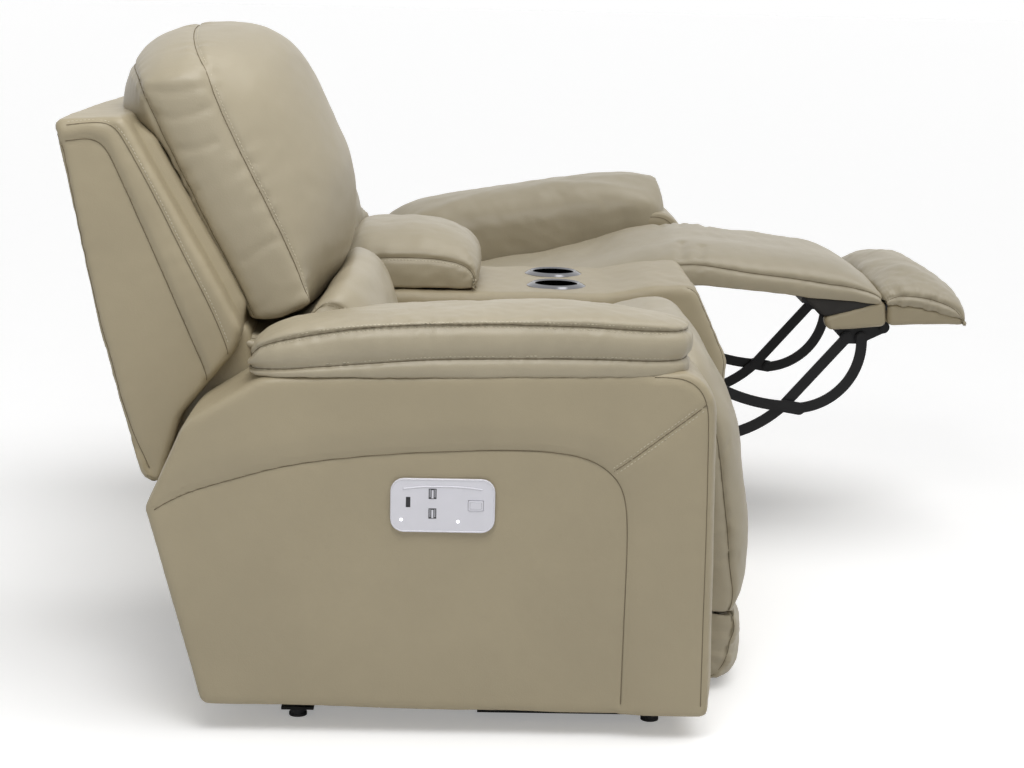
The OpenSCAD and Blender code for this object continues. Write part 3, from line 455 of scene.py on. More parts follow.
def plywood(name):
    m, tree, n = shader(name, (0.42, 0.27, 0.14), 0.6)
    w = in_place(tree, node(tree, "ShaderNodeTexWave", Scale=38.0, Distortion=5.0, Detail=3.0))
    w.inputs["Detail Scale"].default_value = 1.2
    rings = ramp(tree, w.outputs["Fac"], (0.36, 0.22, 0.11), (0.5, 0.34, 0.19), (0.2, 0.8))
    tree.links.new(rings, n.inputs["Base Color"])
    tree.links.new(bump(tree, w.outputs["Fac"], 0.15, 0.0006), n.inputs["Normal"])
    return m


# One leather in two copies: the lighter, whiter one on pads and tops has painted sheen in its
# colour, the darker, yellower one on sides and bodies has painted shade
LEATHER_WITH_PAINTED_SHEEN = leather("leather", (0.395, 0.345, 0.245))
LEATHER_SIDE_WITH_PAINTED_SHADE = leather("leather_side_painted_shade", (0.385, 0.328, 0.218), 0.44)
SEAM_SHADOW = painted("seam_shadow", (0.17, 0.138, 0.082), 0.8)
THREAD = painted("thread", (0.55, 0.5, 0.37), 0.6, 900.0, 0.4)
STEEL = painted("black_paint", (0.008, 0.008, 0.009), 0.45, **{"Specular IOR Level": 0.3})
PLY = plywood("plywood")
DARK = painted("black_plastic", (0.02, 0.02, 0.023), 0.55)
CLOTH = painted("dust_cloth", (0.03, 0.028, 0.026), 0.9, 900.0, 0.5)
CHROME = painted("chrome", (0.2, 0.2, 0.21), 0.09, 900.0, 0.02, 1.0, 0.02)
WHITE = painted("white_gloss", (0.75, 0.745, 0.8), 0.22, 900.0, 0.02, 0.0, 0.012,
                **{"Coat Weight": 0.3, "Coat Roughness": 0.1})
GREY = painted("socket_metal", (0.42, 0.42, 0.45), 0.3, 900.0, 0.02, 1.0, 0.03)
LIGHT = shader("indicator_light", (0.95, 0.96, 1.0), 0.3,
               **{"Emission Color": (0.95, 0.96, 1.0, 1), "Emission Strength": 1.6})[0]


# ---- pieces of a closed seat
def settle(o, side, group="unit"):
    """Moves a piece drawn as (across, forward, height) in metres to where its seat stands."""
    set_coords(o, place(coords(o) * 1000, side, group))
    if side == "left" or group == "console":
        o.data.flip_normals()
    return o


def at(x, profile):
    """A side profile in mm as a line in metres at a place across."""
    p = np.array(profile, float)
    return np.column_stack([np.full(len(p), float(x)), p]) / 1000


def slab(name, corners, sides, material, size=0.006):
    """Upholstered body: a rounded outline, 1.5 mm fuller than its corners say, between two faces.
    sides are steps of (across, inset) that draw its edges in."""
    outline = spaced(rounded(corners), step=8, closed=True)
    rings = [at(x, moved_in(outline, inset - 1.5)) for x, inset in sides]
    return remesh(loft(name, rings, material), size)


def boxed(name, outer, inner, x0, x1, edge, power, wall, top, side=10, under=8):
    """Boxed cushion: a crowned top panel between two side seams, side walls and an underside.
    outer and inner are side profiles with matching points. edge is the share of the height at the
    seams, power how square the crown is, wall how far the sides bulge; top, side and under are
    numbers of steps. Returns the mesh and its two seam lines."""
    mid, half = (x0 + x1) / 2, (x1 - x0) / 2
    edge = np.broadcast_to(edge, len(outer))
    steps = np.linspace(0, 1, side + 1)[:-1]
    columns = [(-half - wall * math.sin(math.pi * k), edge * k) for k in steps]
    for k in np.sin(np.linspace(-math.pi / 2, math.pi / 2, top + 1)):
        columns.append((half * k, edge + (1 - edge) * (1 - abs(k) ** power) ** (1 / 1.7)))
    columns += [(half + wall * math.sin(math.pi * k), edge * k) for k in steps[::-1]]
    columns += [(half * k, edge * 0) for k in np.linspace(1, -1, under + 1)[1:-1]]
    rings = np.array([[[mid + x, *(inner[i] + (outer[i] - inner[i]) * h[i])] for x, h in columns]
                      for i in range(len(outer))]) / 1000
    return loft(name, rings, LEATHER_WITH_PAINTED_SHEEN), rings[:, side], rings[:, side + top]


def pick(side, right, left):
    """What differs between the seats."""
    return right if side == "right" else left


def ruffle(o, size, seed, scale=0.11, fine=0.0, squeeze=(1, 1, 1)):
    """Uneven stuffing: soft swells along the normals, in metres, and finer creases."""
    co, no = coords(o), normals(o)
    d = size * waves(co, scale, seed, squeeze)
    if fine:
        d += fine * waves(co, scale * 0.28, seed + 50, squeeze)
    set_coords(o, co + no * d[:, None])


def cuboid(name, low, high, material):
    """Box between two corners in mm."""
    (x0, y0, z0), (x1, y1, z1) = low, high
    corners = [(x, y, z) for z in (z0, z1) for x, y in ((x0, y0), (x1, y0), (x1, y1), (x0, y1))]
    faces = [(3, 2, 1, 0), (4, 5, 6, 7), (0, 1, 5, 4), (1, 2, 6, 5), (2, 3, 7, 6), (3, 0, 4, 7)]
    return outward(make(name, np.array(corners) / 1000, faces, material, smooth=False))


def paint(o, material):
    o.data.materials.clear()
    o.data.materials.append(material)


def node_copy(node_name, name, material):
    """The part's own mesh of a node, for a piece that changes it a little."""
    o = bpy.data.objects.new(name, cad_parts[node_name].data.copy())
    bpy.context.scene.collection.objects.link(o)
    paint(o, material)
    return o


def crease(o, path, depth, width):
    """A fold in the leather without thread."""
    groove(o, hug(o, spaced(path, step=SEAM_STEP))[0], depth, width)


def sew(o, name, lines):
    """Draws seams into a piece and lays thread along them.
    Each line is (path, depth, width, pucker, rows of stitches at distances beside it), in metres,
    and may end with the reach of its puckers."""
    done = []
    for k, (path, depth, width, pucker, rows, *reach) in enumerate(lines):
        p = spaced(path, step=SEAM_STEP)
        for _ in range(5):
            p = hug(o, eased(p, 2))[0]
        groove(o, p, depth, width, pucker, *reach, seed=k + len(name))
        done.append((p, rows))
    verts, faces, threads, first = [], [], [], 0
    for p, rows in done:
        q, up = hug(o, eased(hug(o, p)[0], 2))
        q, up = eased(q, 1), eased(up, 4)
        # The dark tube along each groove is painted shade
        v, f = tube(q + up * SEAM_LIFT, SEAM_RADIUS)
        verts.append(v)
        faces += [tuple(first + i for i in face) for face in f]
        first += len(v)
        for off in rows:
            r, n = hug(o, beside(q, up, off))
            threads.append((eased(r, 4), n))
    out = [o, make(name + "_seams", np.vstack(verts), faces, SEAM_SHADOW)]
    if threads:
        out.append(stitches(name + "_thread", threads, THREAD))
    return out


def dress(pieces, side, body, group="unit", stands_for=(), bend=None):
    """Places a sewn piece, lets it ride its body, and hides the nodes it stands for. The side goes
    before all names. With bend, (first body, second body, side point of its start, of its end), the
    piece rides no body and stays where it is placed; the bodies and points in it are not used."""
    own = side + "_" if side else ""
    for o in pieces:
        settle(o, side, group)
        o.name = own + o.name
        if bend:
            a, b, s, e = bend
            s, e = place([[460, *s], [460, *e]], side, group)
            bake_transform(o)
        else:
            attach(o, own + body)
    if stands_for:
        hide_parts(*(own + name for name in stands_for))


# ---- arms
def inside(points, polygon):
    """Which side points lie in an outline."""
    x, y, result = points[:, 0], points[:, 1], np.zeros(len(points), bool)
    for (x1, y1), (x2, y2) in zip(polygon, np.roll(polygon, -1, 0)):
        hit = ((y1 > y) != (y2 > y)) & (x < (x2 - x1) * (y - y1) / (y2 - y1 + 1e-12) + x1)
        result ^= hit
    return result


def ease(t):
    """Smooth step from 0 to 1."""
    t = np.clip(t, 0, 1)
    return t * t * (3 - 2 * t)


def line_distance(points, line):
    """Distances of side points to a line of points."""
    best = np.full(len(points), 1e9)
    for a, b in zip(line[:-1], line[1:]):
        d = b - a
        t = np.clip(((points - a) @ d) / (d @ d + 1e-12), 0, 1)
        best = np.minimum(best, np.linalg.norm(points - a - t[:, None] * d, axis=1))
    return best


ARM = [(-396, 46, 10), (369, 37, 12), (358, 569, 54), (-300, 551, 60), (-418, 480, 60),
       (-476, 349, 12)]
PANEL_SEAM = [(-463, 347), (-430, 366), (-394, 380), (-292, 411), (-204, 427), (-101, 438),
              (2, 444), (105, 445), (164, 438), (194, 426), (221, 403), (232, 375), (237, 314),
              (236, 180), (235, 56)]
FRONT_SEAM = [(270, 563), (299, 563), (318, 560), (333, 552), (343, 540), (349, 522), (352, 500),
              (354, 427), (355, 355), (356, 200), (357, 56)]
CORNER_SEAM = [(214, 417), (283, 471), (347, 521)]
INNER_SEAM = [(270, 563), (318, 560), (343, 540), (352, 500), (355, 355), (357, 56)]


def arm_body(side):
    o = slab("arm_leather", ARM, [(740, 9), (742, 4), (746, 1), (752, 0), (938, 0), (944, 1),
                                  (948.5, 4), (950.5, 9)], LEATHER_SIDE_WITH_PAINTED_SHADE)
    co = coords(o) * 1000
    panel = curve(PANEL_SEAM)
    flat = inside(co[:, 1:], np.vstack([panel, [[235, 30], [-410, 30], [-480, 340]]]))
    d = line_distance(co[:, 1:], panel)
    face = ease((co[:, 0] - 925) / 20)
    co[:, 0] += face * np.where(flat, -2.5 * ease(d / 10), 5.5 * ease(d / 45))
    # The narrow front panel is stuffed too
    front = ease((co[:, 1] - 345) / 12) * np.clip(1 - ((co[:, 0] - 845) / 100) ** 2, 0, 1) ** 0.6
    co[:, 1] += 9 * front * ease((co[:, 2] - 50) / 40) * ease((560 - co[:, 2]) / 60)
    set_coords(o, co / 1000)
    ruffle(o, 0.0008, seed=pick(side, 3, 8), scale=0.2, fine=0.0002)
    outer, inner = 955, 735
    lines = [(at(outer, panel), 0.0045, 0.006, 0.0007, ()),
             (at(outer, curve(FRONT_SEAM)), 0.0035, 0.006, 0.0008, ()),
             (at(outer, CORNER_SEAM), 0.0025, 0.004, 0.0005, (0.005, -0.005)),
             (at(inner, curve(INNER_SEAM, 8)), 0.003, 0.006, 0.0006, ())]
    dress(sew(o, "arm", lines), side, "seat", stands_for=["arm_cover"])


# Heights along the arm pad from its rear to its front: bottom, low seam, high seam and crown
PAD_BOTTOM = [(-340, 553), (-300, 551), (0, 556), (300, 561), (340, 557)]
PAD_LOW = [(-340, 556), (-326, 559), (-248, 567), (-131, 577), (-44, 583), (72, 586), (187, 587),
           (301, 585), (340, 589)]
PAD_HIGH = [(-340, 562), (-325, 574), (-310, 592), (-276, 605), (-214, 617), (-139, 626),
            (-14, 632), (147, 634), (224, 631), (300, 627), (340, 626)]
PAD_CROWN = [(-340, 592), (-325, 606), (-291, 626), (-246, 637), (-112, 645), (134, 657),
             (258, 656), (300, 653), (340, 646)]


def arm_pad(side):
    """Padded arm top: rings of a rounded rectangle, from below over two seams to the crown."""
    centre, half, length = np.array([846, -1]), 110, 331
    t = around(720)
    c, s = np.cos(t), np.sin(t)
    plan = centre + np.stack([half * np.sign(c) * np.abs(c) ** (2 / 4.2),
                              length * np.sign(s) * np.abs(s) ** (2 / 11)], 1)
    plan = spaced(plan, count=400, closed=True)
    outer_side = ease((plan[:, 0] - 758) / 120)

    def level(profile, u):
        p = spaced(spline(profile, 8), count=200)
        return np.interp(u, p[:, 0], p[:, 1])

    def ring(s, out, f, upper=0.0):
        """s is the share of the plan and out how far the wall stands out of it. f runs from 0 at
        the bottom over 1 at the low seam to 2 at the high seam; upper is the share of the crown.
        The side next to the seat has no seams and rolls over in one curve."""
        bulge = 4 * math.sin(math.pi * (f * 0.3 + upper * 0.4)) * max(0, (s - 0.7) / 0.285)
        p = centre + (plan - centre) * s
        p = moved_in(p, -(out * outer_side + bulge * (1 - outer_side)))
        bottom, low, high, crown = (level(profile, p[:, 1])
                                    for profile in (PAD_BOTTOM, PAD_LOW, PAD_HIGH, PAD_CROWN))
        bottom, low, high = (a * outer_side + b * (1 - outer_side)
                             for a, b in ((bottom, 487), (low, 526), (high, crown - 90)))
        z = bottom + (low - bottom) * f if f < 1 else low + (high - low) * (f - 1)
        return np.column_stack([p, z + (crown - high) * upper]) / 1000

    full = 0.985
    rings = [ring(s, 0, 0.0) for s in (0.1, 0.5, 0.8, 0.93, 0.97)]
    rings += [ring(full, 1.5 + 2.5 * math.sin(math.pi * k), k)
              for k in (0.1, 0.2, 0.35, 0.5, 0.65, 0.8, 0.9)]
    low_seam = len(rings)
    rings.append(ring(full, 0.5, 1.0))
    rings += [ring(full, 0.5 + 5.5 * math.sin(math.pi * k), 1 + k)
              for k in (0.1, 0.25, 0.4, 0.55, 0.7, 0.85, 0.94)]
    high_seam = len(rings)
    rings.append(ring(full, 0.5, 2.0))
    for a in np.linspace(3, 90, 44):
        s, rise = math.cos(math.radians(a)) ** 0.85, math.sin(math.radians(a)) ** 0.8
        out = 0.5 + 5 * math.sin(math.radians(min(a * 3, 180))) * (a < 60)
        rings.append(ring(full * max(s, 0.03), out, 2.0, rise))
    o = loft("arm_pad_leather", rings, LEATHER_WITH_PAINTED_SHEEN)
    ruffle(o, 0.0014, seed=pick(side, 11, 15), scale=0.12, fine=0.0005)
    walk = (np.argsort(-plan[:, 1])[0] + np.arange(len(plan))) % len(plan)
    outer_part, seams = walk[plan[walk, 0] > 778], []
    for k in (low_seam, high_seam):
        path = rings[k][outer_part]
        gaps = np.linalg.norm(np.diff(path, axis=0), axis=1)
        if gaps.max() >= 0.05:
            path = np.roll(path, -(np.argmax(gaps) + 1), 0)
        seams.append(path)
    lines = [(seams[0], 0.0038, 0.0048, 0.0009, (0.005,)),
             (seams[1], 0.0042, 0.005, 0.0012, (0.0055, -0.0055))]
    dress(sew(o, "arm_pad", lines), side, "seat", stands_for=["arm_pad"])


# ---- backs
BACK = [(-481, 341, 10), (-450, 452, 60), (-364, 556, 16), (-353, 590, 18), (-427, 727, 60),
        (-512, 880, 30), (-529, 909, 12), (-632, 905, 8), (-570, 586, 60), (-508, 356, 10)]
SKIRT = [(-470, 352, 12), (-352, 352, 20), (-338, 470, 40), (-346, 590, 16), (-440, 600, 40)]
WING_SEAM = [(-616, 871), (-590, 876), (-566, 876), (-552, 855), (-516, 774), (-458, 638),
             (-406, 515), (-393, 494)]
WING_EDGE = [(-612, 899), (-580, 905), (-548, 905), (-532, 886), (-488, 805), (-444, 715),
             (-399, 624), (-368, 548)]
REAR_EDGE = [(-614, 885), (-590, 740), (-560, 600), (-520, 450), (-492, 368)]


def back_body(side):
    o = slab("back_leather", BACK, [(188, 9), (190, 4), (194, 1), (200, 0), (768, 0), (774, 1),
                                    (778.5, 4), (780.5, 9)], LEATHER_SIDE_WITH_PAINTED_SHADE)
    co = coords(o) * 1000
    # Inside of the wing the front stands further forward, behind the pillow
    inner_front = ease((738 - co[:, 0]) / 14) * ease((co[:, 0] - 190) / 14)
    slope = -353 - (co[:, 2] - 590) * 0.54
    between = ease((co[:, 2] - 590) / 40) * ease((902 - co[:, 2]) / 30)
    co[:, 1] += 20 * inner_front * ease((co[:, 1] - slope + 14) / 12) * between
    crown = np.clip(1 - ((co[:, 0] - 480) / 300) ** 2, 0, 1) ** 0.7
    co[:, 2] += 2 * ease((co[:, 2] - 840) / 60) * crown
    line = curve(WING_SEAM)
    flat = inside(co[:, 1:], np.vstack([line, [(-440, 430), (-480, 330), (-560, 480),
                                               (-640, 860)]]))
    d = line_distance(co[:, 1:], line)
    face = ease((co[:, 0] - 755) / 20)
    co[:, 0] += face * np.where(flat, -2.5 * ease(d / 10), 4.0 * ease(d / 14))
    # The rear panel is stuffed a little
    rear = ease((co[:, 0] - 200) / 60) * ease((765 - co[:, 0]) / 60)
    behind = co[:, 1] < -470 - (co[:, 2] - 350) * 0.268 - 8
    co[:, 1] -= 5 * rear * behind * ease((co[:, 2] - 400) / 80) * ease((880 - co[:, 2]) / 60)
    set_coords(o, co / 1000)
    ruffle(o, 0.0009, seed=pick(side, 21, 25), scale=0.2, fine=0.0003)
    rear_edge = spline(REAR_EDGE, 6) + np.array([-6, 0])
    lines = [(at(785, line), 0.0045, 0.0055, 0.0008, ()),
             (at(785, curve(WING_EDGE)), 0.003, 0.0055, 0.0008, (0.0055,)),
             (at(770, rear_edge), 0.0025, 0.005, 0.0008, ()),
             (at(200, rear_edge), 0.0025, 0.005, 0.0008, ())]
    skirt = slab("back_skirt", SKIRT, [(194, 6), (198, 1), (204, 0), (724, 0), (730, 1),
                                       (734, 6)], LEATHER_SIDE_WITH_PAINTED_SHADE, 0.008)
    dress(sew(o, "back", lines) + [skirt], side, "back", "back", stands_for=["back_cover"])


def head_pillow(side):
    front = spline([(-286, 582), (-256, 598), (-232, 631), (-209, 674), (-199, 708), (-196, 750),
                    (-200, 800), (-210, 841), (-230, 887), (-268, 967), (-303, 1013), (-352, 1040),
                    (-404, 1047)], 6)
    top = spline([(-404, 1047), (-453, 1043), (-494, 1033), (-528, 1013), (-552, 984)], 6)
    rear = spline([(-552, 984), (-568, 945), (-570, 905), (-540, 892), (-505, 868), (-440, 742),
                   (-362, 606), (-350, 588)], 6)
    low = spline([(-350, 588), (-318, 580), (-286, 582)], 6)
    end_front = spline([(-243, 630), (-281, 704), (-319, 782), (-370, 881), (-392, 932),
                        (-402, 955), (-411, 972)], 6)
    end_top = spline([(-411, 972), (-436, 978), (-474, 972), (-504, 958)], 6)
    end_rear = spline([(-504, 958), (-501, 935), (-482, 888), (-422, 766), (-361, 643),
                       (-342, 600)], 6)
    end_low = spline([(-342, 600), (-296, 600), (-243, 630)], 6)

    def loop(*parts):
        return np.vstack([spaced(p, count=c + 1)[:-1] for p, c in zip(parts, (90, 26, 70, 14))])

    def rise(k):
        """Share of the middle's outline at a place from -1 to 1 across; the rest is the end's."""
        return (1 - abs(k) ** 2.0) ** 0.7

    if side == "left":
        # Reclined, with nobody's head on it, this pillow lies flatter
        front[:, 0] -= 37 * np.exp(-((front[:, 1] - 745) / 130) ** 2)
    middle, end = loop(front, top, rear, low), loop(end_front, end_top, end_rear, end_low)
    # Centre line of the side panel
    spine = (spaced(end_front, count=60) + spaced(end_rear[::-1], count=60)) / 2
    core = spine[np.argmin(((end[:, None] - spine[None]) ** 2).sum(2), axis=1)]
    mid_x, half = 458, 266
    shares = (0.04, 0.3, 0.55, 0.75, 0.9, 0.97)
    panel = [(core + (end - core) * s, 11 * (1 - s ** 2.2)) for s in shares]
    rings = [at(mid_x - half - out, p) for p, out in panel]
    for k in np.sin(np.linspace(-math.pi / 2, math.pi / 2, 61)):
        rings.append(at(mid_x + half * k, end + (middle - end) * rise(k)))
    rings += [at(mid_x + half + out, p) for p, out in panel[::-1]]
    o = remesh(loft("head_pillow_leather", rings, LEATHER_WITH_PAINTED_SHEEN), smooth=3)
    ruffle(o, 0.0024, seed=pick(side, 31, 35), scale=0.19, fine=0.0005, squeeze=(1.6, 1, 1))
    # A seam goes up one end, across the top and down the other end, in front and behind
    lines, across = [], np.linspace(-1, 1, 41)
    for up, a, b, rows in ((end_front, (-411, 972), (-455, 1043), (0.006,)),
                           (end_rear[::-1], (-504, 958), (-552, 984), ())):
        over = np.column_stack([mid_x + half * across, a[0] + (b[0] - a[0]) * rise(across),
                                a[1] + (b[1] - a[1]) * rise(across)]) / 1000
        first, last = (at(mid_x + half * d, spaced(up, step=7)) for d in (-1, 1))
        path = spaced(np.vstack([first, over[1:-1], last[::-1]]), step=SEAM_STEP)
        lines.append((eased(path, 60), 0.0045, 0.006, 0.0022, rows))
    # Soft creases across the side panels
    for c in ([(-500, 950), (-455, 947), (-410, 958)], [(-492, 912), (-450, 908), (-402, 926)],
              [(-455, 860), (-425, 862), (-395, 872)], [(-352, 690), (-325, 712), (-300, 724)]):
        for x in (mid_x - half - 10, mid_x + half + 10):
            crease(o, at(x, spline(c, 4)), 0.0022, 0.006)
    dress(sew(o, "head_pillow", lines), side, "back", "back", stands_for=["head_pillow"])


def lumbar_pad(side):
    outer = np.array([(-352, 578), (-300, 576), (-250, 602), (-222, 645), (-198, 664), (-170, 655),
                      (-147, 628), (-131, 595), (-123, 555), (-126, 506), (-150, 482),
                      (-200, 477)], float)
    if side == "left":
        # As flat as the pillow above it
        outer -= np.outer(np.exp(-((outer[:, 1] - 650) / 55) ** 2), (26, 44))
    inner = spline([(-366, 556), (-340, 545), (-300, 545), (-270, 548), (-250, 545), (-240, 535),
                    (-238, 525), (-238, 515), (-240, 505), (-245, 495), (-250, 488),
                    (-260, 480)], 6)
    outer, inner = spaced(spline(outer, 6), count=70), spaced(inner, count=70)
    o, *seams = boxed("lumbar_leather", outer, inner, 192, 722, edge=0.66, power=2.2, wall=8,
                      top=48)
    ruffle(o, 0.0025, seed=pick(side, 41, 45), scale=0.13, fine=0.0008, squeeze=(1.5, 1, 1))
    lines = [(path, 0.004, 0.006, 0.0022, (0.006,)) for path in seams]
    dress(sew(o, "lumbar", lines), side, "back", "back", stands_for=["lumbar_pad"])


# ---- seats and footrests
SEAT_TOP = [(-208, 452), (-206, 486), (-185, 503), (-140, 508), (-60, 514), (40, 522), (130, 534),
            (210, 550)]
SEAT_UNDER = [(-196, 404), (-190, 402), (-180, 401), (-140, 400), (-60, 398), (40, 397), (130, 397),
              (210, 406)]


def chaise(side):
    """One pad from the back of the seat, over the knee, to the end of the footrest."""
    if side == "right":
        outer = SEAT_TOP + [(270, 568), (320, 580), (354, 574), (380, 548), (404, 508), (428, 464),
                            (444, 410), (456, 345), (463, 275), (464, 210), (459, 168), (440, 131)]
        inner = SEAT_UNDER + [(270, 415), (320, 424), (342, 436), (352, 448), (358, 444),
                              (362, 430), (364, 390), (365, 330), (365, 262), (365, 205),
                              (365, 168), (366, 142)]
        bend = ("seat", "legrest", (352, 600), (417.4, 586.9))
    else:
        outer = SEAT_TOP + [(270, 556), (330, 558), (390, 549), (462, 532), (530, 518), (589, 505),
                            (640, 488), (680, 462), (703, 438), (709, 422)]
        inner = SEAT_UNDER + [(270, 470), (330, 482), (400, 470), (450, 459), (520, 445),
                              (580, 431), (630, 421), (670, 413), (695, 409), (702, 409)]
        bend = ("seat", "legrest", (330, 500), (440, 500))
    outer, inner = spline(outer, 8), spline(inner, 8)
    t = np.arange(len(outer)) / (len(outer) - 1)
    edge = np.interp(t, *pick(side, ([0, 0.35, 0.5, 0.7, 0.8, 0.9, 1],
                                     [0.8, 0.76, 0.45, 0.4, 0.48, 0.58, 0.8]),
                              ([0, 0.4, 0.6, 0.8, 1], [0.8, 0.7, 0.5, 0.42, 0.6])))
    o, *seams = boxed("chaise_leather", outer, inner, PAD_IN, PAD_OUT, edge, power=4.5, wall=4,
                      top=88, side=12)
    ruffle(o, 0.0026, seed=pick(side, 51, 58), scale=0.15, fine=0.0007, squeeze=(1.6, 1, 1))
    lines = [(path, 0.0045, 0.0065, 0.0026, ()) for path in seams]
    if side == "left":
        # Gathers across the knee
        for u, x0, x1 in ((300, 560, 724), (322, 600, 724), (345, 540, 724), (372, 610, 724),
                          (402, 570, 724), (310, 196, 300), (350, 196, 270)):
            z = np.interp(u, [270, 330, 402], [560, 562, 550])
            crease(o, np.array([(x0, u, z), (x1, u + 12, z)]) / 1000, 0.0055, 0.008)
    else:
        # Tucks on the outer side
        for c in ([(405, 222), (425, 226), (452, 224)], [(402, 392), (420, 404), (436, 412)]):
            crease(o, at(735, spline(c, 4)), 0.0028, 0.005)
    dress(sew(o, "chaise", lines), side, None, bend=bend,
          stands_for=["seat_cushion", "leg_pad"])


FLIP_WRAP = [(719, 406, 6), (716, 361, 8), (771, 358, 60), (846, 351, 40), (872, 346, 8),
             (872, 360, 6), (843, 373, 60), (773, 395, 60)]
LEG_FLANGE = [(588, 389, 6), (594, 365, 8), (640, 362, 60), (711, 361, 8), (713, 412, 6),
              (650, 400, 60)]
LEG_LINING = [(543, 441, 6), (590, 392, 6), (712, 402, 6), (708, 412, 3), (640, 424, 60),
              (590, 434, 60)]


def flip_pad(side):
    if side == "right":
        outer = [(440, 126), (452, 108), (460, 78), (461, 42), (452, 14), (428, 4), (370, 4),
                 (300, 5), (240, 5), (180, 6), (140, 10), (120, 24)]
        inner = [(372, 138), (368, 116), (362, 98), (350, 84), (335, 76), (318, 73), (300, 70),
                 (270, 63), (230, 53), (190, 44), (160, 37), (150, 35)]
    else:
        outer = [(705, 424), (708, 437), (722, 449), (748, 457), (777, 460), (806, 455), (834, 441),
                 (860, 421), (876, 402), (884, 381), (884, 362), (878, 350)]
        inner = [(718, 406), (720, 406), (725, 405), (742, 401), (768, 394), (794, 386), (818, 378),
                 (838, 371), (852, 366), (862, 360), (866, 355), (868, 348)]
    outer, inner, edge = spline(outer, 8), spline(inner, 8), 0.34
    if side == "right":
        t = np.arange(len(outer)) / (len(outer) - 1)
        edge = np.interp(t, [0, 0.09, 0.18, 0.36, 0.45, 0.55, 0.64, 0.8, 1],
                         [0.88, 0.79, 0.66, 0.67, 0.72, 0.79, 0.86, 0.92, 0.93])
    o, *seams = boxed("flip_leather", outer, inner, PAD_IN + 1, PAD_OUT, edge, power=3.0, wall=4,
                      top=88)
    ruffle(o, 0.0026, seed=pick(side, 61, 66), scale=0.1, fine=0.0009, squeeze=(1.4, 1, 1))
    lines = [(path, 0.0045, 0.0065, 0.0034, (), 0.06) for path in seams]
    dress(sew(o, "flip", lines), side, "flip_panel", stands_for=["flip_pad"])
    # Leather round the board of the flip-out panel, and flanges that carry on under the footrest
    wrap = slab("flip_wrap", FLIP_WRAP, [(190, 6), (193, 2), (198, 0), (721, 0), (726, 2),
                                         (729, 6)], LEATHER_SIDE_WITH_PAINTED_SHADE, 0.005)
    dress([wrap], side, "flip_panel", "flip_out", stands_for=["flip_board"])
    for name, x in (("inner", 190), ("outer", 690)):
        flange = slab("leg_flange_" + name, LEG_FLANGE,
                      [(x, 5), (x + 3, 1), (x + 7, 0), (x + 29, 0), (x + 34, 1), (x + 37, 5)],
                      LEATHER_SIDE_WITH_PAINTED_SHADE, 0.005)
        dress([flange], side, "legrest", "leg_out")
    lining = slab("leg_lining", LEG_LINING, [(193, 4), (196, 0), (724, 0), (727, 4)], CLOTH, 0.005)
    dress([lining], side, "legrest", "leg_out")
    # The footrest's board ends under the lining, and its brackets stay as they are
    board = node_copy(side + "_leg_board", side + "_leg_brackets", STEEL)
    cut(board, settle(cuboid("cutter", (180, 400, 380), (740, 546, 490), STEEL), side, "leg_out"))
    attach(board, side + "_legrest")
    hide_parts(side + "_leg_board")


# ---- console
CONSOLE = [(-390, 52, 16), (425, 52, 26), (455, 200, 60), (474, 440, 50), (410, 580, 26),
           (330, 576, 60), (250, 560, 40), (-384, 560, 30), (-422, 470, 40), (-438, 351, 16)]


def cylinder(x, u, z0, z1, radius):
    t = around(72)
    rings = [np.stack([x + radius * np.cos(t), u + radius * np.sin(t), np.full(72, z)], 1) / 1000
             for z in (z0, z1)]
    return loft("cutter", rings, SEAM_SHADOW)


def console_body():
    o = slab("console_leather", CONSOLE, [(-179, 15), (-176, 6), (-170, 1), (-163, 0), (163, 0),
                                          (170, 1), (176, 6), (179, 15)], LEATHER_SIDE_WITH_PAINTED_SHADE)
    ruffle(o, 0.0014, seed=71, scale=0.14, fine=0.0005)
    seam = spline([(330, 574), (380, 580), (412, 578), (440, 540), (462, 485), (472, 440),
                   (466, 330), (455, 200), (436, 80)], 6)
    front = spaced(seam[9:], step=8)
    pieces = sew(o, "console", [(at(x, front), 0.003, 0.0055, 0.0008, ()) for x in (-172, 172)])
    # Openings for the cup holders and the bin
    for x in (-78, 78):
        cut(o, cylinder(x, 159, 480, 640, 54))
    cut(o, cuboid("cutter", (-142, -224, 380), (142, 8, 640), SEAM_SHADOW))
    dress(pieces, None, "base", "console", stands_for=["console_cover"])


def console_lid():
    outer = [(-224, 572), (-229, 622), (-219, 655), (-198, 671), (-131, 675), (-70, 671),
             (-21, 656), (4, 636), (16, 612), (16, 590), (12, 571)]
    inner = [(u, 566) for u in (-214, -205, -190, -160, -110, -60, -20, -6, 0, 2, 3)]
    o, *seams = boxed("console_lid_leather", spline(outer, 8), spline(inner, 8), -163, 163,
                      edge=0.5, power=2.6, wall=3, top=64, side=12)
    ruffle(o, 0.0018, seed=81, scale=0.1, fine=0.0006)
    lines = [(path, 0.004, 0.0055, 0.0014, (0.0055,)) for path in seams]
    dress(sew(o, "console_lid", lines), None, "console_lid", "console",
          stands_for=["console_pad"])


# ---- power panels
SOCKETS = [(-88, 368, 6.6, 15.5), (-52, 381, 11.5, 15.5), (-52, 351, 11.5, 15.5)]
LIGHTS = [(-98, 341), (-14, 339)]
RIDGE = [(-96, 388), (-70, 391), (-37, 392), (-4, 391), (22, 388)]
RIM = [(-113, 323.5, 19), (39, 323.5, 19), (39, 402.5, 19), (-113, 402.5, 19)]
BUTTON = [(3.5, 359, 1.2), (20.5, 359, 1.2), (20.5, 369, 1.2), (3.5, 369, 1.2)]


